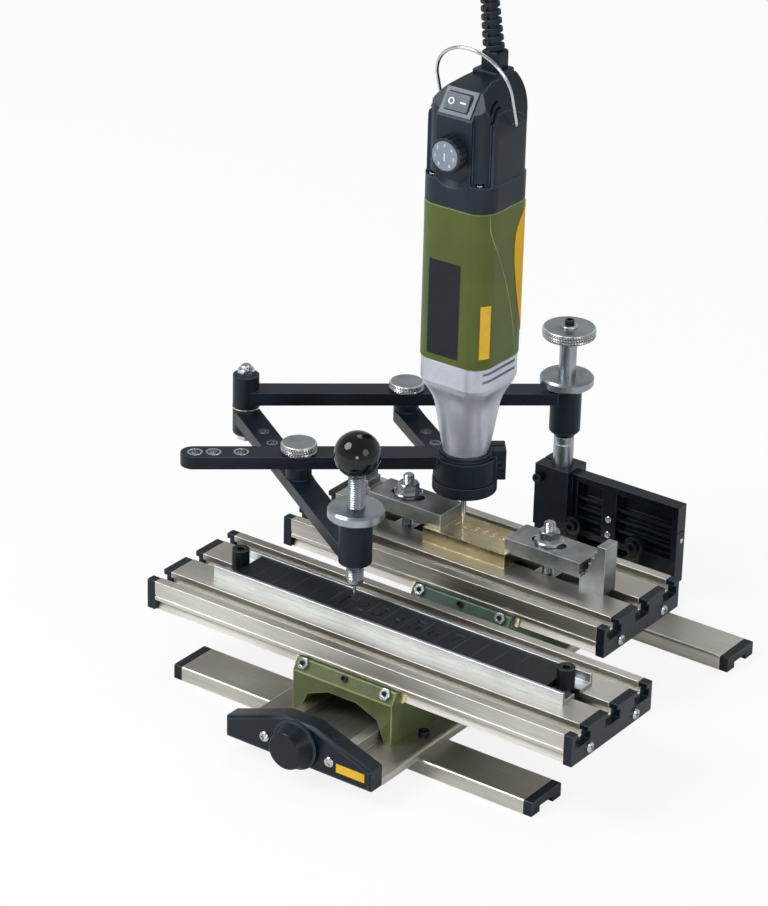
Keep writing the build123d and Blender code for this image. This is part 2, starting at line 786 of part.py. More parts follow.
with BuildPart() as ring_clamp_screw:
    with BuildSketch(ear_axis):
        Circle(ring_screw_dia / 2)
    extrude(amount=ear_width / 2, both=True)
    with BuildSketch(ear_axis.offset(-ear_width / 2)):
        Circle(ring_screw_head / 2)
    extrude(amount=-ring_screw_dia)
keep(ring_clamp_screw, "ring_clamp_screw")


def pivot_screw(point, arm_z, head_height):
    """A knurled thumb screw: its shank turns in the upper arm and is held in the boss below."""
    head_z = arm_z + arm_thickness + face_gap
    with BuildPart() as screw:
        with BuildSketch(level(point, low_arm_z)):
            Circle(pivot_dia / 2)
        extrude(amount=head_z - low_arm_z)
        with BuildSketch(level(point, head_z)):
            Circle(pivot_head_dia / 2)
        extrude(amount=head_height)
        chamfer(screw.faces().sort_by(Axis.Z)[-1].edges(), groove_width / 3)
    return screw


keep(pivot_screw(link_pivot, rear_arm_z, link_head_height), "link_pivot_screw")
keep(pivot_screw(arm_pivot, front_arm_z, arm_head_height), "arm_pivot_screw")

# ---------------------------------------------------------------- stylus
with BuildPart() as stylus_spindle:
    with BuildSketch(level(stylus, stylus_rod_bottom)):
        Circle(stylus_rod_dia / 2)
    extrude(amount=ball_z - stylus_rod_bottom)
    chamfer(stylus_spindle.faces().sort_by(Axis.Z)[0].edges(), groove_width)
    with BuildSketch(level(stylus, stylus_rod_bottom)):
        Circle(needle_dia / 2 + screw_fit)
    extrude(amount=stylus_rod_dia, mode=Mode.SUBTRACT)
keep(stylus_spindle, "stylus_spindle")

with BuildPart() as stylus_ball:
    with BuildSketch(Plane((*stylus, ball_z), x_dir=(1, 0, 0), z_dir=(0, -1, 0))):
        Circle(ball_dia / 2)
        with Locations((-ball_dia / 2, 0)):
            Rectangle(ball_dia, ball_dia, mode=Mode.SUBTRACT)
    revolve(axis=Axis((*stylus, ball_z), (0, 0, 1)))
    with BuildSketch(level(stylus, ball_z - ball_dia / 2)):
        Circle(stylus_rod_dia / 2 + screw_fit)
    extrude(amount=ball_dia / 2 + face_gap, mode=Mode.SUBTRACT)
keep(stylus_ball, "stylus_ball")

with BuildPart() as stylus_disc:
    with BuildSketch(level(stylus, stylus_hub_top + face_gap)):
        Circle(stylus_disc_dia / 2)
        Circle(stylus_rod_dia / 2 + run_fit, mode=Mode.SUBTRACT)
    extrude(amount=stylus_disc_height)
    chamfer(stylus_disc.edges().filter_by(GeomType.CIRCLE).group_by(SortBy.RADIUS)[-1], groove_width / 3)
keep(stylus_disc, "stylus_disc")

with BuildPart() as stylus_needle:
    with BuildSketch(level(stylus, tip_z + needle_dia)):
        Circle(needle_dia / 2)
    extrude(amount=stylus_rod_bottom + stylus_rod_dia - tip_z - needle_dia - face_gap)
    with Locations((*stylus, tip_z + needle_dia / 2)):
        Cone(needle_dia / 8, needle_dia / 2, needle_dia)
keep(stylus_needle, "stylus_needle")

# ---------------------------------------------------------------- carriages, gibs and their screws
jaw_top = flange_bottom - jaw_top_gap
seat_z = table_bottom - slide_fit
flank_run = dovetail_neck - dovetail_foot
flank_rise = table_height - flange_height
flank_angle = atan2(flank_rise, flank_run)
slope_run = jaw_slope / flank_rise * flank_run
slope_out = (0, -sin(flank_angle), cos(flank_angle))  # the sloped face lies parallel to the dovetail's flank
slope_top_y = slope_run - carriage_overhang  # from the table's front


def slope_plane(x, front):
    """The plane of a carriage's sloped face, with its origin at a screw and its y axis down the slope."""
    y = front + slope_top_y - gib_screw_drop * cos(flank_angle)
    z = jaw_top - gib_screw_drop * sin(flank_angle)
    return Plane((x, y, z), x_dir=(-1, 0, 0), z_dir=slope_out)


def carriage(front):
    """A bridge on two legs whose jaws hold the dovetail foot of a table."""
    low = front - carriage_overhang
    high = front + table_width + carriage_overhang
    front_gap = gib_thickness + 2 * slide_fit
    with BuildPart() as bridge:
        with BuildSketch(front_plane(0, high, 0)):
            with BuildLine():
                Polyline(
                    (-carriage_width / 2, rail_top),
                    (-leg_foot_x, rail_top),
                    (-leg_knee_x, leg_knee_z),
                    (-arch_top_x, arch_top_z),
                    (arch_top_x, arch_top_z),
                    (leg_knee_x, leg_knee_z),
                    (leg_foot_x, rail_top),
                    (carriage_width / 2, rail_top),
                    (carriage_width / 2, jaw_top),
                    (-carriage_width / 2, jaw_top),
                    close=True,
                )
            make_face()
        extrude(amount=carriage_depth)
        for edge_y, inward in ((low, 1), (high, -1)):
            with BuildSketch(side_plane(-carriage_width / 2, edge_y, jaw_top)):
                with BuildLine():
                    Polyline((0, 0), (inward * slope_run, 0), (0, -jaw_slope), close=True)
                make_face()
            extrude(amount=carriage_width, mode=Mode.SUBTRACT)
        with BuildSketch(side_plane(-carriage_width / 2, 0, 0)):
            with BuildLine():
                Polyline(
                    (front + dovetail_foot - front_gap, seat_z),
                    (front + table_width - dovetail_foot + slide_fit, seat_z),
                    (front + table_width - dovetail_neck + slide_fit, flange_bottom),
                    (front + dovetail_neck - front_gap, flange_bottom),
                    close=True,
                )
            make_face()
        extrude(amount=carriage_width, mode=Mode.SUBTRACT)
        for x in (-gib_screw_x, 0, gib_screw_x):
            with BuildSketch(slope_plane(x, front)):
                Circle(gib_screw_dia / 2 + screw_fit)
            extrude(amount=-carriage_overhang, mode=Mode.SUBTRACT)
    return bridge


keep(carriage(template_front), "front_carriage")
keep(carriage(work_front), "rear_carriage")

with BuildPart() as gib_strips:
    for front in (template_front, work_front):
        with BuildSketch(side_plane(-gib_length / 2, 0, 0)):
            with BuildLine():
                Polyline(
                    (front + dovetail_foot - gib_thickness - slide_fit, table_bottom),
                    (front + dovetail_foot - slide_fit, table_bottom),
                    (front + dovetail_neck - slide_fit, flange_bottom - slide_fit),
                    (front + dovetail_neck - gib_thickness - slide_fit, flange_bottom - slide_fit),
                    close=True,
                )
            make_face()
        extrude(amount=gib_length)
keep(gib_strips, "gib_strips")

jaw_gap_run = jaw_top_gap * flank_run / flank_rise
jaw_thickness = dovetail_neck - gib_thickness - slide_fit - slope_top_y - jaw_gap_run
screw_reach = jaw_thickness * sin(flank_angle) - face_gap

# Three grub screws press on each gib. The middle one locks the table and has no nut.
with BuildPart() as gib_screws:
    for front in (template_front, work_front):
        for x, height in ((-gib_screw_x, gib_nut_height), (0, 0), (gib_screw_x, gib_nut_height)):
            with BuildSketch(slope_plane(x, front).offset(-screw_reach)):
                Circle(gib_screw_dia / 2)
            extrude(amount=screw_reach + height + gib_screw_end)
            with BuildSketch(slope_plane(x, front).offset(height + gib_screw_end)):
                RegularPolygon(gib_screw_dia / 4, 6)
            extrude(amount=-gib_screw_dia / 2, mode=Mode.SUBTRACT)
keep(gib_screws, "gib_screws")

with BuildPart() as gib_nuts:
    for front in (template_front, work_front):
        for x in (-gib_screw_x, gib_screw_x):
            with BuildSketch(slope_plane(x, front)):
                RegularPolygon(gib_nut_flats / 2, 6, major_radius=False)
                Circle(gib_screw_dia / 2 + screw_fit, mode=Mode.SUBTRACT)
            extrude(amount=gib_nut_height)
keep(gib_nuts, "gib_nuts")


# ---------------------------------------------------------------- tables
def slot_outline(row, extra):
    """Cuts one T-slot out of a table section, in a sketch that lies across the table."""
    mouth = slot_mouth + 2 * extra
    inner = slot_inner + 2 * extra
    lip = slot_lip - extra
    depth = slot_depth + extra
    with Locations((row, table_top - lip / 2)):
        Rectangle(mouth, lip, mode=Mode.SUBTRACT)
    with Locations((row, table_top - (lip + depth) / 2)):
        Rectangle(inner, depth - lip, mode=Mode.SUBTRACT)


def table(centre_x, front, length):
    """An extruded table: three T-slots above, a dovetail foot below, a groove along each side."""
    body = length - 2 * table_cap
    centre_y = front + table_width / 2
    half = table_width / 2
    with BuildPart() as slab:
        with BuildSketch(side_plane(centre_x - body / 2, centre_y, 0)):
            with BuildLine():
                Polyline(
                    (-half, table_top),
                    (-half, flange_bottom),
                    (-half + dovetail_neck, flange_bottom),
                    (-half + dovetail_foot, table_bottom),
                    (half - dovetail_foot, table_bottom),
                    (half - dovetail_neck, flange_bottom),
                    (half, flange_bottom),
                    (half, table_top),
                    close=True,
                )
            make_face()
            for row in slot_rows:
                slot_outline(row, 0)
            with Locations((-half, table_top - table_groove_z), (half, table_top - table_groove_z)):
                Rectangle(table_groove, table_groove, mode=Mode.SUBTRACT)
        extrude(amount=body)
        for end in (-1, 1):
            end_x = centre_x + end * body / 2
            with BuildSketch(side_plane(end_x, centre_y, table_top - cap_screw_z)):
                with Locations((-cap_screw_y, 0), (cap_screw_y, 0)):
                    Circle(cap_screw_dia / 2 + screw_fit)
            extrude(amount=-end * 2 * table_cap, mode=Mode.SUBTRACT)
    return slab


def table_caps(centre_x, front, length):
    """The two moulded end caps of a table, open where its T-slots are."""
    body = length - 2 * table_cap
    centre_y = front + table_width / 2
    with BuildPart() as caps:
        for end in (-1, 1):
            end_x = centre_x + end * body / 2
            with BuildSketch(side_plane(end_x, centre_y, 0)):
                with Locations((0, table_top - table_height / 2)):
                    Rectangle(table_width, table_height)
                for row in slot_rows:
                    slot_outline(row, cap_slot_extra)
                screw_z = table_top - cap_screw_z
                with Locations((-cap_screw_y, screw_z), (cap_screw_y, screw_z)):
                    Circle(cap_screw_dia / 2 + screw_fit, mode=Mode.SUBTRACT)
            extrude(amount=end * table_cap)
    return caps


def cap_screws(centre_x, front, length):
    """The four pan screws of one table's caps."""
    centre_y = front + table_width / 2
    with BuildPart() as screws:
        for end in (-1, 1):
            face_x = centre_x + end * length / 2
            with BuildSketch(side_plane(face_x, centre_y, table_top - cap_screw_z)):
                with Locations((-cap_screw_y, 0), (cap_screw_y, 0)):
                    Circle(cap_screw_head / 2)
            extrude(amount=end * cap_screw_head_height)
            with BuildSketch(side_plane(face_x, centre_y, table_top - cap_screw_z)):
                with Locations((-cap_screw_y, 0), (cap_screw_y, 0)):
                    Circle(cap_screw_dia / 2)
            extrude(amount=-end * 2.5 * table_cap)
    return screws


for table_name, centre_x, front, length in (
    ("template", template_x, template_front, template_length),
    ("work", work_x, work_front, work_length),
):
    keep(table(centre_x, front, length), f"{table_name}_table")
    keep(table_caps(centre_x, front, length), f"{table_name}_table_caps")
    keep(cap_screws(centre_x, front, length), f"{table_name}_cap_screws")

# ---------------------------------------------------------------- template rail, digit tiles and their screws
tray_y = template_front + table_width / 2
tray_screw_spots = ((tray_x - tray_screw_x, tray_y), (tray_x + tray_screw_x, tray_y))
inner_width = tray_width - 2 * tray_wall

with BuildPart() as template_rail:
    with BuildSketch(side_plane(tray_x - tray_length / 2, tray_y, table_top)):
        with Locations((0, tray_height / 2)):
            Rectangle(tray_width, tray_height)
        with Locations((0, tray_floor + (tray_height - tray_floor) / 2)):
            Rectangle(inner_width, tray_height - tray_floor, mode=Mode.SUBTRACT)
    extrude(amount=tray_length)
    with BuildSketch(Plane.XY.offset(table_top)):
        with Locations(*tray_screw_spots):
            Circle(tray_screw_dia / 2 + screw_fit)
    extrude(amount=tray_floor, mode=Mode.SUBTRACT)
keep(template_rail, "template_rail")

tile_z = table_top + tray_floor
tile_row = 2 * tray_screw_x - tray_screw_head - 2 * tile_gap
tile_pitch = tile_row / tile_count
with BuildPart() as digit_tiles:
    with BuildSketch(Plane.XY.offset(tile_z)):
        for index in range(tile_count):
            with Locations((tray_x - tile_row / 2 + (index + 0.5) * tile_pitch, tray_y)):
                Rectangle(tile_pitch - tile_gap, inner_width - 2 * tile_gap)
    extrude(amount=tile_thickness)
keep(digit_tiles, "digit_tiles")

with BuildPart() as template_screws:
    with BuildSketch(Plane.XY.offset(tile_z)):
        with Locations(*tray_screw_spots):
            Circle(tray_screw_head / 2)
    extrude(amount=tile_thickness + tray_screw_head_height)
    with BuildSketch(Plane.XY.offset(tile_z + tile_thickness + tray_screw_head_height)):
        with Locations(*tray_screw_spots):
            RegularPolygon(tray_screw_head / 4, 6)
    extrude(amount=-tray_screw_head_height / 2, mode=Mode.SUBTRACT)
    with BuildSketch(Plane.XY.offset(tile_z)):
        with Locations(*tray_screw_spots):
            Circle(tray_screw_dia / 2)
    extrude(amount=-(tray_floor + slot_depth - t_nut_gap))
keep(template_screws, "template_screws")


def t_nut_section(neck):
    """The cross-section of a T-nut or of a stud's T-shaped foot, that slides in a table's slot."""
    inner_height = slot_depth - slot_lip - 2 * t_nut_gap
    with Locations((0, table_top - slot_lip - t_nut_gap - inner_height / 2)):
        Rectangle(slot_inner - 2 * t_nut_gap, inner_height)
    if neck:
        with Locations((0, table_top - slot_lip / 2 - t_nut_gap)):
            Rectangle(slot_mouth - 2 * t_nut_gap, slot_lip)


with BuildPart() as template_t_nuts:
    for x, y in tray_screw_spots:
        with BuildSketch(side_plane(x - t_nut_length / 2, y, 0)):
            t_nut_section(neck=True)
        extrude(amount=t_nut_length)
    with BuildSketch(Plane.XY.offset(table_top)):
        with Locations(*tray_screw_spots):
            Circle(tray_screw_dia / 2 + screw_fit)
    extrude(amount=-slot_depth, mode=Mode.SUBTRACT)
keep(template_t_nuts, "template_t_nuts")

# ---------------------------------------------------------------- workpiece and clamps
work_y = work_front + table_width / 2
work_block_top = table_top + work_block_height
work_ends = (work_block_x - work_block_length / 2, work_block_x + work_block_length / 2)
with BuildPart() as workpiece:
    with BuildSketch(Plane((work_block_x, work_y, table_top))):
        Rectangle(work_block_length, work_block_width)
    extrude(amount=work_block_height)
    chamfer(workpiece.faces().sort_by(Axis.Z)[-1].edges(), groove_width / 4)
keep(workpiece, "workpiece")

bar_spots = []
with BuildPart() as clamp_bars:
    for end, outward, overlap in zip(work_ends, (-1, 1), bar_overlaps):
        bar_centre = end + outward * (bar_length / 2 - overlap)
        stud_x = end + outward * stud_reach
        bar_spots.append((stud_x, work_y))
        with BuildSketch(Plane((bar_centre, work_y, work_block_top))):
            Rectangle(bar_length, bar_width)
        extrude(amount=bar_height)
        with BuildSketch(Plane((stud_x, work_y, work_block_top))):
            SlotOverall(bar_slot_length, stud_dia + 4 * t_nut_gap)
        extrude(amount=bar_height, mode=Mode.SUBTRACT)
keep(clamp_bars, "clamp_bars")

with BuildPart() as clamp_studs:
    for x, y in bar_spots:
        with BuildSketch(side_plane(x - t_nut_length / 2, y, 0)):
            t_nut_section(neck=False)
        extrude(amount=t_nut_length)
        with BuildSketch(Plane((x, y, table_top - slot_lip - t_nut_gap))):
            Circle(stud_dia / 2)
        extrude(amount=stud_top - table_top + slot_lip + t_nut_gap)
keep(clamp_studs, "clamp_studs")

nut_seat = work_block_top + bar_height
with BuildPart() as clamp_nuts:
    for x, y in bar_spots:
        with BuildSketch(Plane((x, y, nut_seat))):
            Circle(clamp_nut_dia / 2)
            Circle(stud_dia / 2 + screw_fit, mode=Mode.SUBTRACT)
        extrude(amount=clamp_nut_flange)
        with BuildSketch(Plane((x, y, nut_seat + clamp_nut_flange))):
            RegularPolygon(clamp_nut_flats / 2, 6, major_radius=False)
            Circle(stud_dia / 2 + screw_fit, mode=Mode.SUBTRACT)
        extrude(amount=clamp_nut_height - clamp_nut_flange)
keep(clamp_nuts, "clamp_nuts")

with BuildPart() as step_blocks:
    for end, outward, overlap in zip(work_ends, (-1, 1), bar_overlaps):
        bar_end = end + outward * (bar_length - overlap)
        first_rise = outward * (step_ledge + 2 * face_gap)
        rise = (step_height - work_block_height) / step_count
        outline = [(0, 0), (0, work_block_height)]
        for step in range(step_count):
            x = first_rise + outward * step * step_run
            outline.append((x, work_block_height + step * rise))
            outline.append((x, work_block_height + (step + 1) * rise))
        tail = first_rise + outward * (step_count * step_run + step_back)
        outline.append((tail, step_height))
        outline.append((tail, 0))
        with BuildSketch(front_plane(bar_end - outward * step_ledge, work_y + step_width / 2, table_top)):
            with BuildLine():
                Polyline(*outline, close=True)
            make_face()
        extrude(amount=step_width)
keep(step_blocks, "step_blocks")

# ---------------------------------------------------------------- power tool
tool_x, tool_y = cutter


def tool_section(size, corner):
    """The rounded square of the tool's body."""
    RectangleRounded(size, size, corner)


with BuildPart() as tool_nose:
    with BuildSketch(level(cutter, nose_neck_bottom)):
        Circle(spigot_dia / 2)
    extrude(amount=ring_bottom - nose_neck_bottom)
    with BuildSketch(level(cutter, ring_bottom)):
        Circle(neck_dia / 2)
    extrude(amount=nose_shoulder_z - ring_bottom)
    with BuildSketch(level(cutter, nose_shoulder_z)) as nose_low:
        Circle(neck_dia / 2)
    with BuildSketch(level(cutter, nose_throat_z)) as nose_throat:
        Circle(nose_throat_dia / 2)
    loft([nose_low.sketch, nose_throat.sketch])
    with BuildSketch(level(cutter, nose_throat_z)) as throat_square:
        tool_section(nose_throat_dia, nose_throat_dia / 2 - 0.1)
    with BuildSketch(level(cutter, nose_skirt_z)) as skirt_square:
        tool_section(body_size - 1, body_corner)
    loft([throat_square.sketch, skirt_square.sketch])
    with BuildSketch(level(cutter, nose_skirt_z)):
        tool_section(body_size - 1, body_corner)
    extrude(amount=nose_top - nose_skirt_z)
    with BuildSketch(level(cutter, nose_neck_bottom)):
        Circle(tool_spindle_dia / 2 + run_fit)
    extrude(amount=nose_top - nose_neck_bottom, mode=Mode.SUBTRACT)
keep(tool_nose, "tool_nose")

with BuildPart() as tool_shells:
    with BuildSketch(level(cutter, nose_top)):
        tool_section(body_size, body_corner)
    extrude(amount=shell_top - nose_top)
    with BuildSketch(level(cutter, nose_top)):
        tool_section(body_size - 2 * body_wall, body_corner - body_wall)
    extrude(amount=shell_top - nose_top, mode=Mode.SUBTRACT)
    for side in (-1, 1):
        with BuildSketch(side_plane(tool_x + side * body_size / 2, tool_y + grip_y, 0)):
            with Locations((0, (grip_low + grip_high) / 2)):
                SlotOverall(grip_high - grip_low, grip_width, rotation=90)
        extrude(amount=-side * grip_thickness, mode=Mode.SUBTRACT)
    split(bisect_by=Plane((tool_x, tool_y, 0), z_dir=(0, 1, 0)), keep=Keep.BOTH)
keep(tool_shells, "tool_shells")

with BuildPart() as grip_inserts:
    with BuildSketch(level(cutter, nose_top)):
        tool_section(body_size, body_corner)
    extrude(amount=shell_top - nose_top)
    with BuildSketch(side_plane(tool_x, tool_y + grip_y, 0)):
        with Locations((0, (grip_low + grip_high) / 2)):
            SlotOverall(grip_high - grip_low - 2 * face_gap, grip_width - 2 * face_gap, rotation=90)
    extrude(amount=body_size, both=True, mode=Mode.INTERSECT)
    with BuildSketch(level(cutter, nose_top)):
        Rectangle(body_size - 2 * grip_thickness, 2 * body_size)
    extrude(amount=shell_top - nose_top, mode=Mode.SUBTRACT)
keep(grip_inserts, "grip_inserts")

head_front = tool_y - head_size / 2
sleeve_foot = (tool_x, tool_y + sleeve_y)
panel_angle = degrees(atan2(panel_rise, panel_run))
panel_centre = (tool_x, head_front + panel_run / 2, panel_low + panel_rise / 2)
panel_normal = (0, -sin(radians(panel_angle)), cos(radians(panel_angle)))
switch_plane = Plane(panel_centre, x_dir=(1, 0, 0), z_dir=panel_normal)
dial_plane = front_plane(tool_x, head_front, dial_z)

with BuildPart() as tool_head:
    with BuildSketch(level(cutter, head_step_z)):
        tool_section(head_size, body_corner)
    extrude(amount=head_top - head_step_z)
    with BuildSketch(front_plane(tool_x, tool_y, 0)):
        with BuildLine():
            Polyline(
                (-head_flat_width / 2, head_top),
                (-head_size / 2, head_top),
                (-head_size / 2, head_shoulder_z),
            )
            RadiusArc(
                (-head_size / 2, head_shoulder_z), (-head_flat_width / 2, head_top), head_shoulder_radius
            )
        make_face()
        mirror(about=Plane.YZ)
    extrude(amount=head_size, both=True, mode=Mode.SUBTRACT)
    with BuildSketch(side_plane(tool_x, 0, 0)):
        with BuildLine():
            Polyline(
                (head_front, head_top),
                (head_front, panel_low),
                (head_front + panel_run, panel_low + panel_rise),
                (head_front + panel_run + panel_rise, head_top),
                close=True,
            )
        make_face()
    extrude(amount=head_size, both=True, mode=Mode.SUBTRACT)
    with BuildSketch(level(cutter, shell_top)):
        tool_section(body_size, body_corner)
    extrude(amount=head_step_z - shell_top)
    with BuildSketch(level(cutter, shell_top)):
        tool_section(body_size - 2 * body_wall, body_corner - body_wall)
    extrude(amount=head_shoulder_z - shell_top, mode=Mode.SUBTRACT)
    with BuildSketch(switch_plane):
        Rectangle(switch_width, switch_length)
    extrude(amount=-switch_depth, mode=Mode.SUBTRACT)
    with BuildSketch(dial_plane):
        Circle(dial_dia / 2 + 3 * face_gap)
    extrude(amount=-dial_sink, mode=Mode.SUBTRACT)
    with BuildSketch(side_plane(tool_x, tool_y + bail_y, bail_z)):
        Circle(bail_wire / 2 + run_fit)
    extrude(amount=head_size, both=True, mode=Mode.SUBTRACT)
    with BuildSketch(level(sleeve_foot, head_top - sleeve_block_height / 3)):
        Rectangle(sleeve_block + 2 * screw_fit, sleeve_block + 2 * screw_fit)
    extrude(amount=sleeve_block_height, mode=Mode.SUBTRACT)
keep(tool_head, "tool_head")

with BuildPart() as switch_bezel:
    with BuildSketch(switch_plane.offset(-switch_depth + screw_fit)):
        Rectangle(switch_width - 2 * screw_fit, switch_length - 2 * screw_fit)
        Rectangle(rocker_width, rocker_length, mode=Mode.SUBTRACT)
    extrude(amount=switch_depth + 1)
    with BuildSketch(side_plane(*panel_centre)):
        Circle(rocker_pin_dia / 2 + run_fit)
    extrude(amount=rocker_width / 2 + rocker_pin_reach + face_gap, both=True, mode=Mode.SUBTRACT)
keep(switch_bezel, "switch_bezel")

with BuildPart() as switch_rocker:
    with BuildSketch(switch_plane.rotated((rocker_tilt, 0, 0)).offset(-switch_depth / 2)):
        Rectangle(rocker_width - 4 * face_gap, rocker_length - 8 * face_gap)
    extrude(amount=switch_depth / 2 + 1 + rocker_rise)
    with BuildSketch(side_plane(*panel_centre)):
        Circle(rocker_pin_dia / 2)
    extrude(amount=rocker_width / 2 + rocker_pin_reach, both=True)
keep(switch_rocker, "switch_rocker")

with BuildPart() as speed_dial:
    with BuildSketch(dial_plane.offset(-dial_sink + face_gap)):
        Circle(dial_dia / 2)
    extrude(amount=dial_sink + dial_length - face_gap)
    chamfer(speed_dial.edges().filter_by(GeomType.CIRCLE).sort_by(Axis.Y)[0], groove_width / 2)
keep(speed_dial, "speed_dial")

bail_lean = atan2(bail_forward, bail_rise)
bail_plane = Plane(
    (tool_x, tool_y + bail_y, bail_z), x_dir=(1, 0, 0), z_dir=(0, -cos(bail_lean), -sin(bail_lean))
)
bail_leg = bail_rise / cos(bail_lean) - bail_half

with BuildPart() as hanging_bail:
    with BuildLine(bail_plane):
        FilletPolyline(
            (-bail_half + bail_pin, 0), (-bail_half, 0), (-bail_half, bail_leg), radius=bail_bend
        )
        ThreePointArc((-bail_half, bail_leg), (0, bail_leg + bail_half), (bail_half, bail_leg))
        FilletPolyline((bail_half, bail_leg), (bail_half, 0), (bail_half - bail_pin, 0), radius=bail_bend)
    with BuildSketch(side_plane(tool_x - bail_half + bail_pin, tool_y + bail_y, bail_z)):
        Circle(bail_wire / 2)
    sweep()
keep(hanging_bail, "hanging_bail")

sleeve_root = head_top + sleeve_block_height / 2
sleeve_axis = (-sin(radians(sleeve_lean)), 0, cos(radians(sleeve_lean)))
sleeve_plane = Plane((*sleeve_foot, sleeve_root), x_dir=(0, 1, 0), z_dir=sleeve_axis)
sleeve_taper = degrees(atan2((sleeve_base_dia - sleeve_tip_dia) / 2, sleeve_length))

with BuildPart() as bend_sleeve:
    with BuildSketch(level(sleeve_foot, head_top - sleeve_block_height / 3)):
        Rectangle(sleeve_block, sleeve_block)
    extrude(amount=sleeve_block_height)
    with BuildSketch(sleeve_plane):
        Circle(sleeve_base_dia / 2)
    extrude(amount=sleeve_length, taper=sleeve_taper)
    with BuildSketch(sleeve_plane.offset(sleeve_length)):
        Circle(sleeve_bore / 2)
    extrude(amount=-sleeve_bore * 2, mode=Mode.SUBTRACT)
keep(bend_sleeve, "bend_sleeve")

with BuildPart() as tool_motor:
    with BuildSketch(level(cutter, motor_bottom)):
        Circle(motor_dia / 2)
    extrude(amount=motor_top - motor_bottom)
    with BuildSketch(level(cutter, nose_top)):
        Circle(motor_dia / 4)
    extrude(amount=motor_bottom - nose_top)
keep(tool_motor, "tool_motor")

with BuildPart() as tool_spindle:
    with BuildSketch(level(cutter, nose_neck_bottom)):
        Circle(tool_spindle_dia / 2)
    extrude(amount=nose_top - face_gap - nose_neck_bottom)
    with BuildSketch(level(cutter, collet_z)):
        Circle(collet_dia / 2)
    extrude(amount=nose_neck_bottom - collet_z)
    with BuildSketch(level(cutter, collet_z)):
        Circle(cutter_dia / 2 + screw_fit)
    extrude(amount=2 * cutter_cone + face_gap, mode=Mode.SUBTRACT)
keep(tool_spindle, "tool_spindle")

cutter_tip = work_block_top + work_gap
with BuildPart() as cutter_bit:
    with BuildSketch(level(cutter, cutter_tip + cutter_cone)):
        Circle(cutter_dia / 2)
    extrude(amount=collet_z + 2 * cutter_cone - cutter_tip - cutter_cone)
    with Locations((*cutter, cutter_tip + cutter_cone / 2)):
        Cone(cutter_dia / 12, cutter_dia / 2, cutter_cone)
keep(cutter_bit, "cutter_bit")
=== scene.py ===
import json
import math

import bmesh
import bpy
from mathutils import Matrix, Vector
from mathutils.bvhtree import BVHTree


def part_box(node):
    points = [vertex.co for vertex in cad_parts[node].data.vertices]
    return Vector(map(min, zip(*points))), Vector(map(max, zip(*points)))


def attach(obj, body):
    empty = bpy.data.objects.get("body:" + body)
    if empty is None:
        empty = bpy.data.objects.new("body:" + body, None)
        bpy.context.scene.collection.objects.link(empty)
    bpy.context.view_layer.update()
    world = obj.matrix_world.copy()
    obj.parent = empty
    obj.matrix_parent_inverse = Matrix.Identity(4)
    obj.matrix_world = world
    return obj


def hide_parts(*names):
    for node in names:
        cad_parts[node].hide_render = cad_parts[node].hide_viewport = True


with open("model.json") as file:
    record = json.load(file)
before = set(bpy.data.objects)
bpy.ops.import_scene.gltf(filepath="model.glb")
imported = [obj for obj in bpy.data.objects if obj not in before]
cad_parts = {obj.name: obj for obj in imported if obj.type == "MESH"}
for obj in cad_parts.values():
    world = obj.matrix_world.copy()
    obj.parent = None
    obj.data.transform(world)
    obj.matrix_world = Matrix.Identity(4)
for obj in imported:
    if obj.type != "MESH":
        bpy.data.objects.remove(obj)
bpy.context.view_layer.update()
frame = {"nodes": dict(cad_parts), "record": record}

bl_info = {
    "name": "Pantograph engraving machine",
    "version": (1, 0, 0),
    "blender": (4, 5, 0),
    "location": "3D View > Sidebar > Engraver",
    "description": "Dresses the packed pantograph engraving machine in its finishes and fine parts",
    "category": "Object",
}

BODY_OF = {n: body for body, names in frame["record"]["behaviour"]["bodies"].items() for n in names}
SLOT_OF = {part["node"]: part["material_slot"] for part in frame["record"]["subparts"]}

# Lengths below are in millimetres; the frame is in metres.
MM = 0.001
RIGHT, BACK, UP, FRONT = (1, 0, 0), (0, 1, 0), (0, 0, 1), (0, -1, 0)

# Where the standing axes pass, as (x, y).
COLUMN = (-31.3, 132.8)
STYLUS = (-22.10, -68.69)
ELBOW = (-164.28, 25.77)
LINK_PIVOT = (-97.79, 79.28)
ARM_PIVOT = (-93.19, -21.46)
TOOL = (-26.70, 32.05)

# The direction, in degrees, of the two arms that cross the long ones, and how far along their linings sit.
CROSS_ARM_ANGLE = -33.6
LININGS = (29.4, 43.5)

# The sloped front faces of the carriages: the way up, the way out, and where their lock screws sit.
SLOPE_UP, SLOPE_OUT = (0, 0.512, 0.859), (0, -0.859, 0.512)
LOCK_SCREWS = ((0, -105.62, 38.8), (0, -7.26, 38.8))

# The first digit of each engraved row, on its surface, and the pitch of the tiles.
TILE_ROW, WORK_ROW = (-28.6, -68.0, 57.5), (-29.95, 32.4, 59.7)
TILE_PITCH = 11.047

# The bail's pivot on the side of the tool's head, as (y, z), and the head's right screw, as (x, y).
BAIL_PIVOT, HEAD_SCREW = (27.5, 283.5), (-12.75, 15.2)

# A wave texture of scale 1 repeats after this many metres.
WAVE_LENGTH = 0.314
# The photograph's width and its camera's focal length, both in pixels.
PHOTO_WIDTH, FOCAL_LENGTH = 768, 3590


# ---------------------------------------------------------------- sizes and colours a user may change
def colour_choice(label, text, default):
    """A colour picker that holds an sRGB colour."""
    value = [int(default[i:i + 2], 16) / 255 for i in (1, 3, 5)]
    return bpy.props.FloatVectorProperty(
        name=label, description=text, default=value, size=3, min=0, max=1, subtype="COLOR_GAMMA")


def length_choice(label, text, default):
    """A length, given in millimetres and kept in metres."""
    return bpy.props.FloatProperty(
        name=label, description=text, default=default * MM, min=0.01 * MM, precision=5, unit="LENGTH")


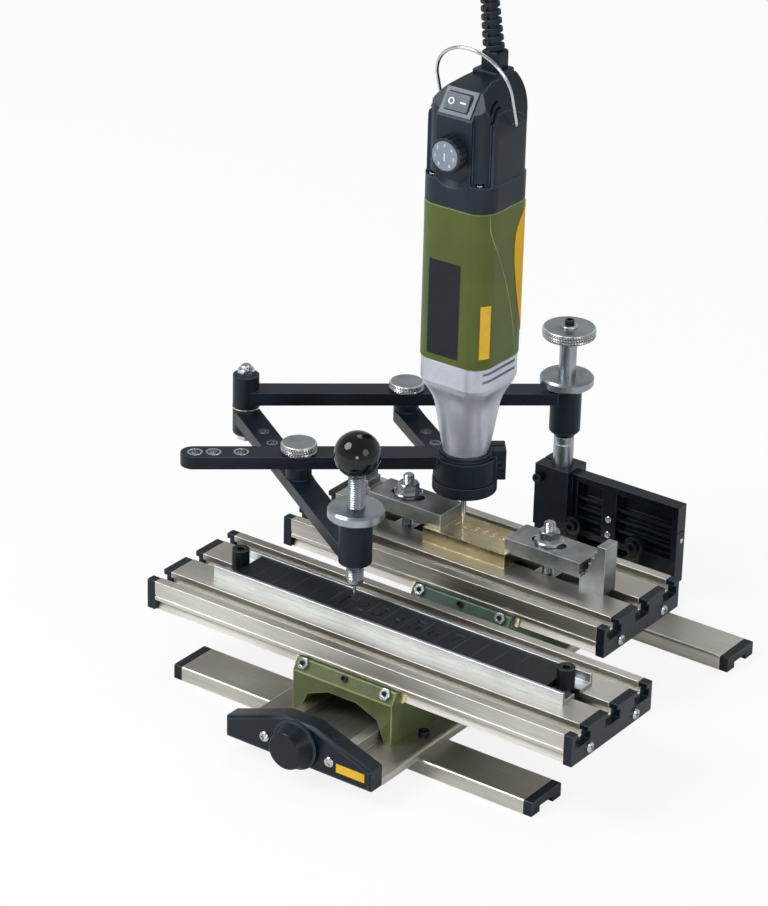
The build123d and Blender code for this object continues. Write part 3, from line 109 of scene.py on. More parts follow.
class EngraverColours(bpy.types.PropertyGroup):
    """The colours of the finishes."""
    anodised: colour_choice("Anodised aluminium", "Champagne anodising of the extrusions", "#d3d1ca")
    casting: colour_choice("Casting enamel", "Olive enamel of the two carriages", "#576139")
    shells: colour_choice("Tool shells", "Green moulding of the power tool", "#525f26")
    grips: colour_choice("Grip inserts", "Yellow soft inserts of the power tool", "#dba808")
    moulding: colour_choice("Black mouldings", "Caps, end plate and rear bracket", "#0c1722")
    arms: colour_choice("Black anodised arms", "Arms, hubs and rings of the linkage", "#131f2c")
    head: colour_choice("Tool head", "Blue-black moulding of the tool's head", "#15232f")
    brass: colour_choice("Brass", "Workpiece, gibs and washer", "#efe3bd")


class EngraverSizes(bpy.types.PropertyGroup):
    """The sizes of the fine detail."""
    soft_edge: length_choice("Soft edge", "Rounding along machined edges", 0.3)
    moulded_edge: length_choice("Moulded edge", "Rounding along moulded edges", 0.5)
    knurl: length_choice("Knurl", "Spacing of the diamond knurl", 1.5)
    thread: length_choice("Thread pitch", "Pitch of the stylus spindle's thread", 1.25)
    digit: length_choice("Tile digits", "Height of the type on the template tiles", 15.0)
    digit_depth: length_choice("Digit depth", "Depth of the engraved digits", 0.5)


def size(name):
    """One of the sizes a user may change, in millimetres."""
    return getattr(bpy.context.scene.engraver_sizes, name) / MM


# ---------------------------------------------------------------- finishes
def linear(value):
    """A colour as linear RGBA, from an sRGB hex value or the name of a colour a user may change."""
    if value.startswith("#"):
        value = [int(value[i:i + 2], 16) / 255 for i in (1, 3, 5)]
    else:
        value = getattr(bpy.context.scene.engraver_colours, value)
    return [c / 12.92 if c <= 0.04045 else ((c + 0.055) / 1.055) ** 2.4 for c in value] + [1.0]


def add(tree, kind, inputs=None, **settings):
    """Adds a node, sets its properties, and sets or links its inputs."""
    node = tree.nodes.new(kind)
    for key, value in settings.items():
        setattr(node, key, value)
    for key, value in (inputs or {}).items():
        if isinstance(value, bpy.types.NodeSocket):
            tree.links.new(value, node.inputs[key])
        else:
            node.inputs[key].default_value = value
    return node


def between(tree, value, low, high, first, last):
    """Maps a value from one range onto another."""
    return add(tree, "ShaderNodeMapRange", {"Value": value, "From Min": low, "From Max": high,
                                            "To Min": first, "To Max": last}).outputs[0]


def surface(label, tone, shade, metallic=0.0, rough=(0.4, 0.5), grain=0.5, stretch=(1, 1, 1), blotch=18.0,
            bump=0.1, depth=0.03, edge=None, edge_share=0.8, turned=None, **shader):
    """A procedural finish. Grain and blotch are the sizes of the fine and the broad pattern, in millimetres;
    stretch lengthens the grain along an axis; edge is the colour of a painted highlight on faces marked for
    it; turned gives the axis and the feed of lathe rings."""
    material = bpy.data.materials.new(label)
    material.use_nodes = True
    tree = material.node_tree
    tree.nodes.clear()
    spot = add(tree, "ShaderNodeTexCoord").outputs["Object"]
    drawn = add(tree, "ShaderNodeMapping", {"Vector": spot, "Scale": [1 / s for s in stretch]})
    fine = add(tree, "ShaderNodeTexNoise", {"Vector": drawn.outputs["Vector"], "Scale": 1 / (grain * MM),
                                            "Detail": 3.0, "Roughness": 0.6}).outputs["Fac"]
    broad = add(tree, "ShaderNodeTexNoise",
                {"Vector": spot, "Scale": 1 / (blotch * MM), "Detail": 2.0}).outputs["Fac"]
    both = add(tree, "ShaderNodeMath", {0: fine, 1: broad}, operation="MULTIPLY").outputs[0]
    colour = add(tree, "ShaderNodeMix", {0: between(tree, both, 0.12, 0.36, 0.0, 1.0), 6: linear(shade),
                                         7: linear(tone)}, data_type="RGBA").outputs[2]
    # Painted highlight: the edge colour laid over the marked faces, patchy in strength.
    if edge:
        painted_highlight = add(tree, "ShaderNodeAttribute", attribute_name="edge").outputs["Fac"]
        patchy = between(tree, broad, 0.35, 0.6, edge_share * 0.5, edge_share)
        highlight_weight = add(tree, "ShaderNodeMath", {0: painted_highlight, 1: patchy}, operation="MULTIPLY").outputs[0]
        colour = add(tree, "ShaderNodeMix", {0: highlight_weight, 6: colour, 7: linear(edge)},
                     data_type="RGBA").outputs[2]
    height = fine
    if turned:
        x, y, feed = turned
        centred = add(tree, "ShaderNodeMapping", {"Vector": spot, "Location": (-x * MM, -y * MM, 0)})
        rings = add(tree, "ShaderNodeTexWave",
                    {"Vector": centred.outputs["Vector"], "Scale": WAVE_LENGTH / (feed * MM),
                     "Distortion": 0.4}, wave_type="RINGS", rings_direction="Z")
        height = add(tree, "ShaderNodeMath", {0: fine, 1: rings.outputs["Fac"]}, operation="ADD").outputs[0]
    relief = add(tree, "ShaderNodeBump", {"Height": height, "Strength": bump, "Distance": depth * MM})
    skin = add(tree, "ShaderNodeBsdfPrincipled",
               {"Base Color": colour, "Roughness": between(tree, broad, 0.3, 0.7, *rough),
                "Metallic": metallic, "Normal": relief.outputs["Normal"], **shader})
    add(tree, "ShaderNodeOutputMaterial", {"Surface": skin.outputs[0]})
    return material


# In every finish below, edge is the colour of a painted highlight on the faces marked for it, chiefly rounded
# edges.
# Champagne anodised extrusion: a soft metal with long die lines, and a painted highlight on its rounded
# corners.
EXTRUSION = dict(tone="anodised", shade="#b4b0a8", metallic=1.0, rough=(0.36, 0.46), grain=0.5, blotch=60.0,
                 bump=0.3, depth=0.02, edge="#f7f5f0")
# Turned steel: bright, with rings one tool feed apart, drawn at 0.5 mm so that they show.
TURNED = dict(tone="#a9b1b7", shade="#8c949b", metallic=1.0, rough=(0.26, 0.36), grain=0.6, blotch=12.0,
              bump=0.12, depth=0.01, edge="#eff1f3")
# A deep grain that swallows half of a surface's sheen.
DULL = {"Specular IOR Level": 0.25}
LOOKS = {
    "anodised_along_x": dict(label="anodised_aluminium_drawn_along_x", stretch=(60, 1, 1), **EXTRUSION),
    "anodised_along_y": dict(label="anodised_aluminium_drawn_along_y", stretch=(1, 60, 1), **EXTRUSION),
    "turned_column": dict(label="turned_steel_column", turned=(*COLUMN, 0.5), **TURNED),
    "turned_stylus": dict(label="turned_steel_stylus", turned=(*STYLUS, 0.5), **TURNED),
    "turned_link": dict(label="turned_steel_link_pivot", turned=(*LINK_PIVOT, 0.5), **TURNED),
    "turned_arm": dict(label="turned_steel_arm_pivot", turned=(*ARM_PIVOT, 0.5), **TURNED),
    # Cut knurl: a darker tone over the knurl as painted shade between the points, and a painted highlight on
    # them.
    "knurled_steel_painted_light": dict(label="knurled_steel_painted_light", tone="#737a80", shade="#5b6167", metallic=1.0,
                          rough=(0.26, 0.36), blotch=6.0, edge="#ffffff", edge_share=1.0),
    # Mill-finish aluminium section: pale and cool, with clear draw lines.
    "rail_aluminium": dict(label="mill_finish_aluminium", tone="#cdd1d4", shade="#afb4b8", metallic=1.0,
                           rough=(0.3, 0.42), stretch=(40, 1, 1), blotch=25.0, bump=0.3, edge="#fbfcfd"),
    # Glass-filled nylon, injection moulded: satin blue-black; its grain swallows half the sheen.
    "bracket_plastic": dict(label="moulded_black_nylon", tone="moulding", shade="#070e15", rough=(0.24, 0.36),
                            blotch=22.0, bump=0.3, edge="#3f4d5b", edge_share=0.45, IOR=1.53, **DULL),
    # Enamelled zinc casting: olive, slightly pebbled under a soft gloss, darker in the pores.
    "green_casting": dict(label="olive_enamel_on_casting", tone="casting", shade="#454f2b", rough=(0.36, 0.5),
                          grain=0.9, blotch=12.0, bump=0.35, depth=0.06, edge="#98a56c", edge_share=0.8,
                          IOR=1.5),
    # The rear carriage's enamel: the same olive and gloss as the front's, painted a cooler, darker sea green
    # as painted shade.
    "sea_casting": dict(label="olive_enamel_painted_shade", tone="#4a6857", shade="#3c5648",
                        rough=(0.36, 0.5), grain=0.9, blotch=12.0, bump=0.35, depth=0.06, edge="#86a090",
                        IOR=1.5),
    # Zinc-plated steel: bright, cool, with faint tool marks.
    "bright_steel": dict(label="zinc_plated_steel", tone="#d3d8dc", shade="#a8aeb4", metallic=1.0,
                         rough=(0.16, 0.28), blotch=6.0, bump=0.1, depth=0.01, edge="#f6f8fa"),
    # Black-oxide steel: almost black with a dull grey sheen, and a painted highlight on its corners.
    "black_steel": dict(label="black_oxide_steel", tone="#1b1f24", shade="#101316", metallic=0.6,
                        rough=(0.32, 0.46), blotch=5.0, bump=0.2, edge="#585d62", edge_share=0.7),
    # Hard black anodising on milled bars: satin blue-black, mill marks, and a faint painted highlight along
    # the edges.
    "black_arm": dict(label="black_anodised_aluminium", tone="arms", shade="#0b1117", metallic=0.1,
                      rough=(0.34, 0.46), blotch=20.0, bump=0.25, edge="#43515f", edge_share=0.5, IOR=1.5,
                      **DULL),
    # Ground brass: warm yellow with a straight grind and a clear gleam.
    "brass": dict(label="ground_brass", tone="brass", shade="#dacb98", metallic=1.0, rough=(0.2, 0.3),
                  stretch=(30, 1, 1), blotch=14.0, bump=0.12, depth=0.015, edge="#f8eec2"),
    # Freshly engraved brass: matt from the cutter, and paler as a painted highlight, so that the digits read.
    "cut_brass": dict(label="engraved_brass_painted_highlight", tone="#fff3d2", shade="#f2e2b4", metallic=0.4,
                      rough=(0.5, 0.6), grain=0.6, blotch=6.0, bump=0.1),
    # Drawn sides of the brass bar: darker than its top as painted shade, for the dark table they mirror.
    "drawn_brass": dict(label="drawn_brass_painted_shade", tone="#8a8064", shade="#6c644c", metallic=1.0,
                        rough=(0.2, 0.3), stretch=(30, 1, 1), blotch=14.0, bump=0.12, depth=0.015,
                        edge="#f8eec2"),
    # Phenolic tiles: flat black with paper-fine grain.
    "tile_plastic": dict(label="black_phenolic", tone="#131b23", shade="#0b1117", rough=(0.42, 0.55),
                         blotch=10.0, bump=0.2, edge="#4c5864", edge_share=0.6, IOR=1.55, **DULL),
    # Surface-ground tool steel: grey with a straight grind across the bars.
    "work_steel": dict(label="ground_tool_steel", tone="#a3a8aa", shade="#83888a", metallic=1.0,
                       rough=(0.34, 0.44), grain=0.45, stretch=(1, 30, 1), blotch=14.0, bump=0.2, depth=0.015,
                       edge="#eceeef"),
    # Polished phenolic ball: piano black under a deep gloss.
    "gloss_ball": dict(label="polished_black_phenolic", tone="#080c12", shade="#05070a", rough=(0.04, 0.08),
                       grain=1.5, blotch=10.0, bump=0.02, IOR=1.5, **{"Specular IOR Level": 0.4}),
    # Lacquered die casting: silver-lilac, satin, faintly cloudy.
    "nose_zinc": dict(label="lacquered_die_cast_zinc", tone="#c6cad5", shade="#b2b7c2", metallic=0.6,
                      rough=(0.28, 0.38), grain=0.7, blotch=16.0, bump=0.15, edge="#e6e8ee", edge_share=0.6),
    # Moulded ABS shells: olive green with a satin, lightly grained skin.
    "green_plastic": dict(label="moulded_green_abs", tone="shells", shade="#465121", rough=(0.34, 0.44),
                          blotch=25.0, bump=0.15, edge="#8f9d62", edge_share=0.9, IOR=1.53, **DULL),
    # Moulded ABS head: blue-black satin, with a painted highlight along its raised edges.
    "head_plastic": dict(label="moulded_black_abs", tone="head", shade="#131c26", rough=(0.34, 0.46),
                         blotch=20.0, bump=0.15, edge="#4c5b6a", edge_share=0.6, IOR=1.53, **DULL),
    # Soft-touch elastomer: saturated yellow, matt and dry.
    "yellow_rubber": dict(label="soft_yellow_elastomer", tone="grips", shade="#c79a0a", rough=(0.5, 0.62),
                          grain=0.6, blotch=12.0, bump=0.2, edge="#efd056", edge_share=0.5, IOR=1.5, **DULL),
    # Slate ABS frame of the switch: even satin, with a faint painted highlight on its rim.
    "switch_plastic": dict(label="slate_abs", tone="#52616e", shade="#434f5b", rough=(0.36, 0.46),
                           blotch=8.0, edge="#8896a3", IOR=1.53),
    # The rocker: darker and smoother than its frame, from being pressed.
    "rocker_plastic": dict(label="dark_slate_abs", tone="#3d4a56", shade="#333f4a", rough=(0.3, 0.4),
                           blotch=8.0, edge="#6c7a87", IOR=1.53),
    # Dial ring: black satin whose flutes catch a thin pale line.
    "dial_plastic": dict(label="black_dial_abs", tone="#1d242b", shade="#13181d", rough=(0.36, 0.46),
                         blotch=6.0, bump=0.15, edge="#4f5a65", edge_share=0.7, IOR=1.53),
    # Printed dial face: blue-grey, flat.
    "dial_face": dict(label="printed_grey_dial_face", tone="#7e8b99", shade="#707d8a", rough=(0.42, 0.52),
                      blotch=5.0, bump=0.06, edge="#9aa6b2", IOR=1.5),
    # Marking ink: flat white, a touch uneven as pad printing is.
    "white_ink": dict(label="white_marking_ink", tone="#f0f3f6", shade="#dfe4e9", rough=(0.45, 0.55),
                      grain=0.4, blotch=2.0, bump=0.04, IOR=1.5),
    # Flexible PVC sleeve: matt black, with a painted highlight on the ribs' rounded edges.
    "sleeve_rubber": dict(label="flexible_black_pvc", tone="#161f29", shade="#0f161d", rough=(0.44, 0.58),
                          grain=0.8, blotch=8.0, bump=0.2, edge="#46525e", edge_share=0.7, IOR=1.5, **DULL),
    # Rolled motor can: dull grey with blotchy reflections.
    "motor_steel": dict(label="rolled_motor_steel", tone="#8f9498", shade="#6d7276", metallic=1.0,
                        rough=(0.35, 0.5), grain=0.6, blotch=9.0, bump=0.2),
    # Printed foil plates: an even satin skin, glossier than what carries them.
    "dark_plate": dict(label="dark_foil_plate", tone="#101922", shade="#0c131a", rough=(0.24, 0.32),
                       blotch=15.0, bump=0.05, IOR=1.5, **DULL),
    "yellow_plate": dict(label="yellow_foil_plate", tone="#e0b31c", shade="#cf9f12", rough=(0.3, 0.4),
                         blotch=9.0, bump=0.05, IOR=1.5),
}


def finish(name):
    """The material of a finish, made when it is first asked for."""
    look = LOOKS[name]
    return bpy.data.materials.get(look["label"]) or surface(**look)


# ---------------------------------------------------------------- shapes, all in millimetres
def turn(bm, angle, axis="Z", centre=(0, 0, 0)):
    """Turns a whole shape by an angle in degrees."""
    bmesh.ops.rotate(bm, verts=bm.verts, cent=centre, matrix=Matrix.Rotation(math.radians(angle), 3, axis))
    return bm


def shift(bm, x=0.0, y=0.0, z=0.0):
    """Moves a whole shape."""
    bmesh.ops.translate(bm, verts=bm.verts, vec=(x, y, z))
    return bm


def frame_to(bm, right, up, out, at):
    """Lays a shape that stands on the XY plane into another plane."""
    turned = Matrix((right, up, out)).transposed().to_4x4()
    bmesh.ops.transform(bm, verts=bm.verts, matrix=Matrix.Translation(at) @ turned)
    return bm


def mirrored(bm, x):
    """The mirror image of a shape across the plane at x."""
    bmesh.ops.scale(bm, verts=bm.verts, vec=(-1, 1, 1))
    shift(bm, 2 * x)
    bmesh.ops.recalc_face_normals(bm, faces=bm.faces)
    return bm


def tidy(bm):
    """Merges doubles and makes all faces look outward."""
    bmesh.ops.remove_doubles(bm, verts=bm.verts, dist=0.0008)
    bmesh.ops.recalc_face_normals(bm, faces=bm.faces)
    return bm


def mark(bm, faces=None):
    """Marks faces for a painted highlight, so that the finish shows its edge colour there."""
    layer = bm.loops.layers.float.get("edge") or bm.loops.layers.float.new("edge")
    for face in faces or bm.faces:
        for loop in face.loops:
            loop[layer] = 1.0
    return bm


def soften(bm, width, segments=2, least=32.0, wanted=None, painted_highlight=True):
    """Rounds the sharp edges and, unless told otherwise, marks the rounds for a painted highlight."""
    bmesh.ops.dissolve_degenerate(bm, dist=0.01, edges=bm.edges)
    sharp = [e for e in bm.edges
             if len(e.link_faces) == 2 and e.calc_face_angle(0) > math.radians(least)
             and (wanted is None or wanted(e))]
    made = bmesh.ops.bevel(bm, geom=sharp, offset=width, offset_type="OFFSET", segments=segments, profile=0.5,
                           affect="EDGES", clamp_overlap=False, material=-1)
    return mark(bm, made["faces"]) if painted_highlight and made["faces"] else bm


def upright(edge):
    """Whether an edge stands straight up."""
    low, high = edge.verts[0].co, edge.verts[1].co
    return (low - high).to_2d().length < 1e-4


def level(edge):
    """Whether an edge lies level."""
    return abs(edge.verts[0].co.z - edge.verts[1].co.z) < 1e-4


def cad_shape(node):
    """A merged copy of a CAD node's mesh with its flat faces whole again."""
    bm = bmesh.new()
    bm.from_mesh(frame["nodes"][node].data)
    bmesh.ops.scale(bm, vec=(1 / MM,) * 3, verts=bm.verts)
    bmesh.ops.remove_doubles(bm, verts=bm.verts, dist=0.004)
    bmesh.ops.recalc_face_normals(bm, faces=bm.faces)
    bmesh.ops.dissolve_limit(bm, angle_limit=math.radians(0.8), verts=bm.verts, edges=bm.edges)
    return bm


def block(low, high, corner=0.0, segments=2, wanted=None, painted_highlight=True):
    """A box between two corners, with rounded edges."""
    bm = bmesh.new()
    bmesh.ops.create_cube(bm, size=1.0)
    bmesh.ops.scale(bm, vec=[b - a for a, b in zip(low, high)], verts=bm.verts)
    shift(bm, *[(a + b) / 2 for a, b in zip(low, high)])
    return soften(bm, corner, segments, wanted=wanted, painted_highlight=painted_highlight) if corner else bm


def lathe(profile, centre=(0, 0), steps=64, closed=False):
    """A body turned round a standing axis from a profile of (radius, height) pairs."""
    bm = bmesh.new()
    verts = [bm.verts.new((r, 0, z)) for r, z in profile]
    pairs = list(zip(verts, verts[1:])) + ([(verts[-1], verts[0])] if closed else [])
    edges = [bm.edges.new(pair) for pair in pairs]
    bmesh.ops.spin(bm, geom=verts + edges, cent=(0, 0, 0), axis=(0, 0, 1), dvec=(0, 0, 0),
                   angle=2 * math.pi, steps=steps, use_merge=True, use_duplicate=False)
    return shift(tidy(bm), *centre)


def cut_off(bm, z, side):
    """Removes what lies above a height (side 1) or below it (side -1) and closes the cut."""
    bmesh.ops.bisect_plane(bm, geom=bm.verts[:] + bm.edges[:] + bm.faces[:], plane_co=(0, 0, z),
                           plane_no=(0, 0, side), clear_outer=True)
    bmesh.ops.holes_fill(bm, edges=[e for e in bm.edges if e.is_boundary], sides=0)


def disc(radius, low, high, centre=(0, 0), rim=0.3, steps=32, bore=0.0):
    """A round plate with eased rims, solid or bored."""
    outer = [(radius - rim, low), (radius, low + rim), (radius, high - rim), (radius - rim, high)]
    return lathe([(bore, low), *outer, (bore, high)], centre, steps, closed=bore > 0)


def sector(inner, outer, low, high, start, sweep, steps=12):
    """Part of a ring round the Z axis, from an angle on through a sweep."""
    bm = bmesh.new()
    corners = ((inner, low), (outer, low), (outer, high), (inner, high))
    face = bm.faces.new([bm.verts.new((r, 0, z)) for r, z in corners])
    bmesh.ops.spin(bm, geom=[face], cent=(0, 0, 0), axis=(0, 0, 1), dvec=(0, 0, 0),
                   angle=math.radians(sweep), steps=steps, use_merge=False, use_duplicate=False)
    return turn(tidy(bm), start)


def prism(outline, low, high, plane="XZ"):
    """A flat outline pushed from low to high across its plane."""
    bm = bmesh.new()
    lay = {"XZ": lambda a, b: (a, low, b), "YZ": lambda a, b: (low, a, b)}[plane]
    push = {"XZ": Vector((0, 1, 0)), "YZ": Vector((1, 0, 0))}[plane] * (high - low)
    face = bm.faces.new([bm.verts.new(lay(a, b)) for a, b in outline])
    made = bmesh.ops.extrude_face_region(bm, geom=[face])
    moved = [g for g in made["geom"] if isinstance(g, bmesh.types.BMVert)]
    bmesh.ops.translate(bm, verts=moved, vec=push)
    return tidy(bm)


def threaded(radius, pitch, low, high, centre, steps=24):
    """A rod with a true helical thread between two heights."""
    depth = 0.5 * pitch
    turns = int((high - low) / pitch) + 3
    bm = bmesh.new()
    verts = [bm.verts.new((radius if n % 2 else radius - depth, 0, low + (n / 2 - 1.5) * pitch))
             for n in range(turns * 2 + 1)]
    edges = [bm.edges.new(pair) for pair in zip(verts, verts[1:])]
    bmesh.ops.spin(bm, geom=verts + edges, cent=(0, 0, 0), axis=(0, 0, 1), dvec=(0, 0, pitch / steps),
                   angle=2 * math.pi, steps=steps, use_merge=False, use_duplicate=False)
    bmesh.ops.remove_doubles(bm, verts=bm.verts, dist=0.0008)
    cut_off(bm, low, -1)
    cut_off(bm, high, 1)
    return shift(tidy(bm), *centre)


def knurled(radius, low, high, centre, rows=3, rise=0.45, lip=0.6):
    """A round head whose rim carries a diamond knurl of small pyramids."""
    count = int(2 * math.pi * radius / size("knurl"))
    bm = bmesh.new()
    bmesh.ops.create_cone(bm, cap_ends=True, segments=count, radius1=radius - rise, radius2=radius - rise,
                          depth=high - low)
    shift(bm, z=(low + high) / 2)
    soften(bm, lip, 3, wanted=level)
    side = [f for f in bm.faces if abs(f.normal.z) < 0.1]
    posts = list({e for f in side for e in f.edges if upright(e)})
    bmesh.ops.subdivide_edges(bm, edges=posts, cuts=rows - 1, use_grid_fill=True)
    side = [f for f in bm.faces if abs(f.normal.z) < 0.1]
    levels = sorted({round(v.co.z, 3) for f in side for v in f.verts})
    for z in levels[1:-1:2]:
        ring = [v for v in bm.verts if abs(v.co.z - z) < 0.01]
        bmesh.ops.rotate(bm, verts=ring, cent=(0, 0, 0), matrix=Matrix.Rotation(math.pi / count, 3, "Z"))
    made = bmesh.ops.poke(bm, faces=side, offset=rise)
    # The knurl takes the second finish, darker as painted shade in its grooves, with a painted highlight that
    # fades from each point.
    layer = bm.loops.layers.float["edge"]
    points = set(made["verts"])
    for face in made["faces"]:
        face.material_index = 1
        for loop in face.loops:
            loop[layer] = float(loop.vert in points)
    bmesh.ops.recalc_face_normals(bm, faces=bm.faces)
    return shift(bm, *centre)


def join(*shapes):
    """One shape from several."""
    whole = shapes[0]
    for shape in shapes[1:]:
        mesh = bpy.data.meshes.new("shape")
        shape.to_mesh(mesh)
        shape.free()
        whole.from_mesh(mesh)
        bpy.data.meshes.remove(mesh)
    return whole


def solid_of(data):
    """The mesh shape of a text or a curve."""
    holder = bpy.data.objects.new("shape", data)
    bpy.context.scene.collection.objects.link(holder)
    graph = bpy.context.evaluated_depsgraph_get()
    mesh = bpy.data.meshes.new_from_object(holder.evaluated_get(graph))
    bm = bmesh.new()
    bm.from_mesh(mesh)
    bpy.data.objects.remove(holder)
    bpy.data.meshes.remove(mesh)
    return tidy(bm)


def lettering(words, height, thickness):
    """Flat type lying on the XY plane round the origin."""
    curve = bpy.data.curves.new("words", "FONT")
    curve.body, curve.size, curve.extrude = words, height, thickness / 2
    curve.align_x = curve.align_y = "CENTER"
    curve.resolution_u = 3
    return solid_of(curve)


def tube(points, radius):
    """A round bead along a line of points."""
    curve = bpy.data.curves.new("bead", "CURVE")
    curve.dimensions = "3D"
    line = curve.splines.new("POLY")
    line.points.add(len(points) - 1)
    for knot, point in zip(line.points, points):
        knot.co = (*point, 1)
    curve.bevel_depth, curve.bevel_resolution, curve.use_fill_caps = radius, 2, True
    return solid_of(curve)


def carve(bm, *cutters, operation="DIFFERENCE"):
    """Cuts one shape with others, one after another."""
    for cutter in cutters:
        pair = []
        for shape in (bm, cutter):
            mesh = bpy.data.meshes.new("carved")
            shape.to_mesh(mesh)
            shape.free()
            pair.append(bpy.data.objects.new("carved", mesh))
            bpy.context.scene.collection.objects.link(pair[-1])
        change = pair[0].modifiers.new("cut", "BOOLEAN")
        change.operation, change.solver, change.object = operation, "EXACT", pair[1]
        graph = bpy.context.evaluated_depsgraph_get()
        mesh = bpy.data.meshes.new_from_object(pair[0].evaluated_get(graph))
        bm = bmesh.new()
        bm.from_mesh(mesh)
        for data in (mesh, pair[0].data, pair[1].data):
            bpy.data.meshes.remove(data)
    return bm


def nut(flats, low, high, centre, angle=0.0):
    """A six-sided nut with a chamfered crown."""
    bm = bmesh.new()
    bmesh.ops.create_cone(bm, cap_ends=True, segments=6, radius1=flats / math.sqrt(3),
                          radius2=flats / math.sqrt(3), depth=high - low)
    turn(shift(bm, z=(low + high) / 2), angle)
    wide = flats / math.sqrt(3)
    crown = lathe([(0, low), (wide + 0.1, low), (wide + 0.1, high - 0.9), (flats * 0.5, high), (0, high)],
                  steps=48)
    return shift(carve(bm, crown, operation="INTERSECT"), *centre)


def cross_head(radius, height):
    """A domed screw head on the XY plane with a cross recess."""
    head = lathe([(0, 0), (radius, 0), (radius, height * 0.5), (radius * 0.84, height * 0.85),
                  (radius * 0.5, height), (0, height)], steps=28)
    arm, half = radius * 0.6, radius * 0.15
    return carve(head, block((-arm, -half, height * 0.4), (arm, half, height + 1)),
                 block((-half, -arm, height * 0.38), (half, arm, height + 1)))


def socket_head(radius, height, across):
    """A round screw head on the XY plane with a six-sided socket."""
    head = soften(lathe([(0, 0), (radius, 0), (radius, height), (0, height)], steps=32), 0.25,
                  wanted=lambda e: level(e) and e.verts[0].co.z > height - 0.01)
    bm = bmesh.new()
    bmesh.ops.create_cone(bm, cap_ends=True, segments=6, radius1=across / math.sqrt(3),
                          radius2=across / math.sqrt(3), depth=height * 1.2)
    return carve(head, shift(bm, z=height))


def piece(bm, name, body, look, stands_for=(), sharp=30.0):
    """Makes a finished object from a shape and lets it ride on a body. Where look holds several finishes,
    the faces' own index picks one."""
    bmesh.ops.scale(bm, vec=(MM, MM, MM), verts=bm.verts)
    mesh = bpy.data.meshes.new(name)
    bm.to_mesh(mesh)
    bm.free()
    for each in (look if isinstance(look, tuple) else (look,)):
        mesh.materials.append(finish(each))
    mesh.shade_smooth()
    mesh.set_sharp_from_angle(angle=math.radians(sharp))
    obj = bpy.data.objects.new(name, mesh)
    bpy.context.scene.collection.objects.link(obj)
    # Large flat faces keep an even shade beside their rounded edges.
    obj.modifiers.new("even_shading", "WEIGHTED_NORMAL").keep_sharp = True
    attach(obj, body)
    if stands_for:
        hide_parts(*stands_for)
    return obj


def instead(bm, node, look=None, sharp=30.0):
    """Lets a shape stand for a CAD node."""
    slot = SLOT_OF[node]
    return piece(bm, node + "_fine", BODY_OF[node], look or slot, (node,), sharp)


def eased(node, width=None, look=None, least=32.0):
    """Lets a CAD node's own shape, with softened edges, stand for it."""
    return instead(soften(cad_shape(node), width or size("soft_edge"), least=least), node, look)


def dress(node, look):
    """Gives a CAD node that keeps its shape its finish."""
    data = frame["nodes"][node].data
    data.materials.clear()
    data.materials.append(finish(look))


def corners(node):
    """A CAD node's lowest and highest corner, in millimetres."""
    low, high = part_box(node)
    return low / MM, high / MM


def number_row(row, pitch, height, depth):
    """The digits 1 to 7 in a row along X, as cutters that reach depth into the row's surface."""
    x, y, z = row
    return join(*[shift(lettering(str(n + 1), height, 2 * depth), x + n * pitch, y, z) for n in range(7)])


def inside_row(face, row):
    """Whether a face lies inside the digits of a row, by its middle."""
    spot = face.calc_center_median()
    return -40 < spot.x < 50 and abs(spot.y - row[1]) < 8.5 and row[2] - 1.3 < spot.z < row[2] - 0.01


def end_screws(node, along, across, spread, radius, height, sink, tilt):
    """Pairs of cross-head screws on both ends of a node, spread to the sides and sunk from its ends, each
    turned its own way."""
    low, high = corners(node)
    heads = []
    for end, out in ((low, -1), (high, 1)):
        way = Vector((0, 0, 0))
        setattr(way, along, out)
        for side in (-spread, spread):
            spot = (low + high) / 2
            setattr(spot, along, getattr(end, along) - sink * out)
            setattr(spot, across, getattr(spot, across) + side)
            head = turn(cross_head(radius, height), tilt + getattr(spot, across))
            heads.append(frame_to(head, Vector(UP).cross(way), UP, way, spot))
    instead(join(*heads), node)


# ---------------------------------------------------------------- operators, one for each group of pieces
class ENGRAVER_OT_base(bpy.types.Operator):
    """Foot rails with their caps, cross rail, front end plate and the small screws of the base"""
    bl_idname = "engraver.base"
    bl_label = "Base"

    def execute(self, context):
        for node in ("front_foot_rail", "rear_foot_rail"):
            eased(node, look="anodised_along_x")
        eased("foot_caps", 0.35)
        eased("cross_rail", 0.25, "anodised_along_y")
        eased("foot_screws", 0.2)
        eased("front_end_plate", size("moulded_edge"))
        end_screws("end_plate_screws", "y", "x", 19.6, 2.75, 1.3, sink=1.7, tilt=20)
        face = corners("front_end_plate")[0].y
        label = block((23.8, face - 0.22, 12.9), (40.6, face + 0.2, 17.6), 0.12)
        piece(label, "end_plate_label", "base", "yellow_plate")
        return {"FINISHED"}


class ENGRAVER_OT_knob(bpy.types.Operator):
    """The front knob with its flange and grip, softened along its edges"""
    bl_idname = "engraver.knob"
    bl_label = "Front knob"

    def execute(self, context):
        eased("feed_knob", 0.4)
        return {"FINISHED"}


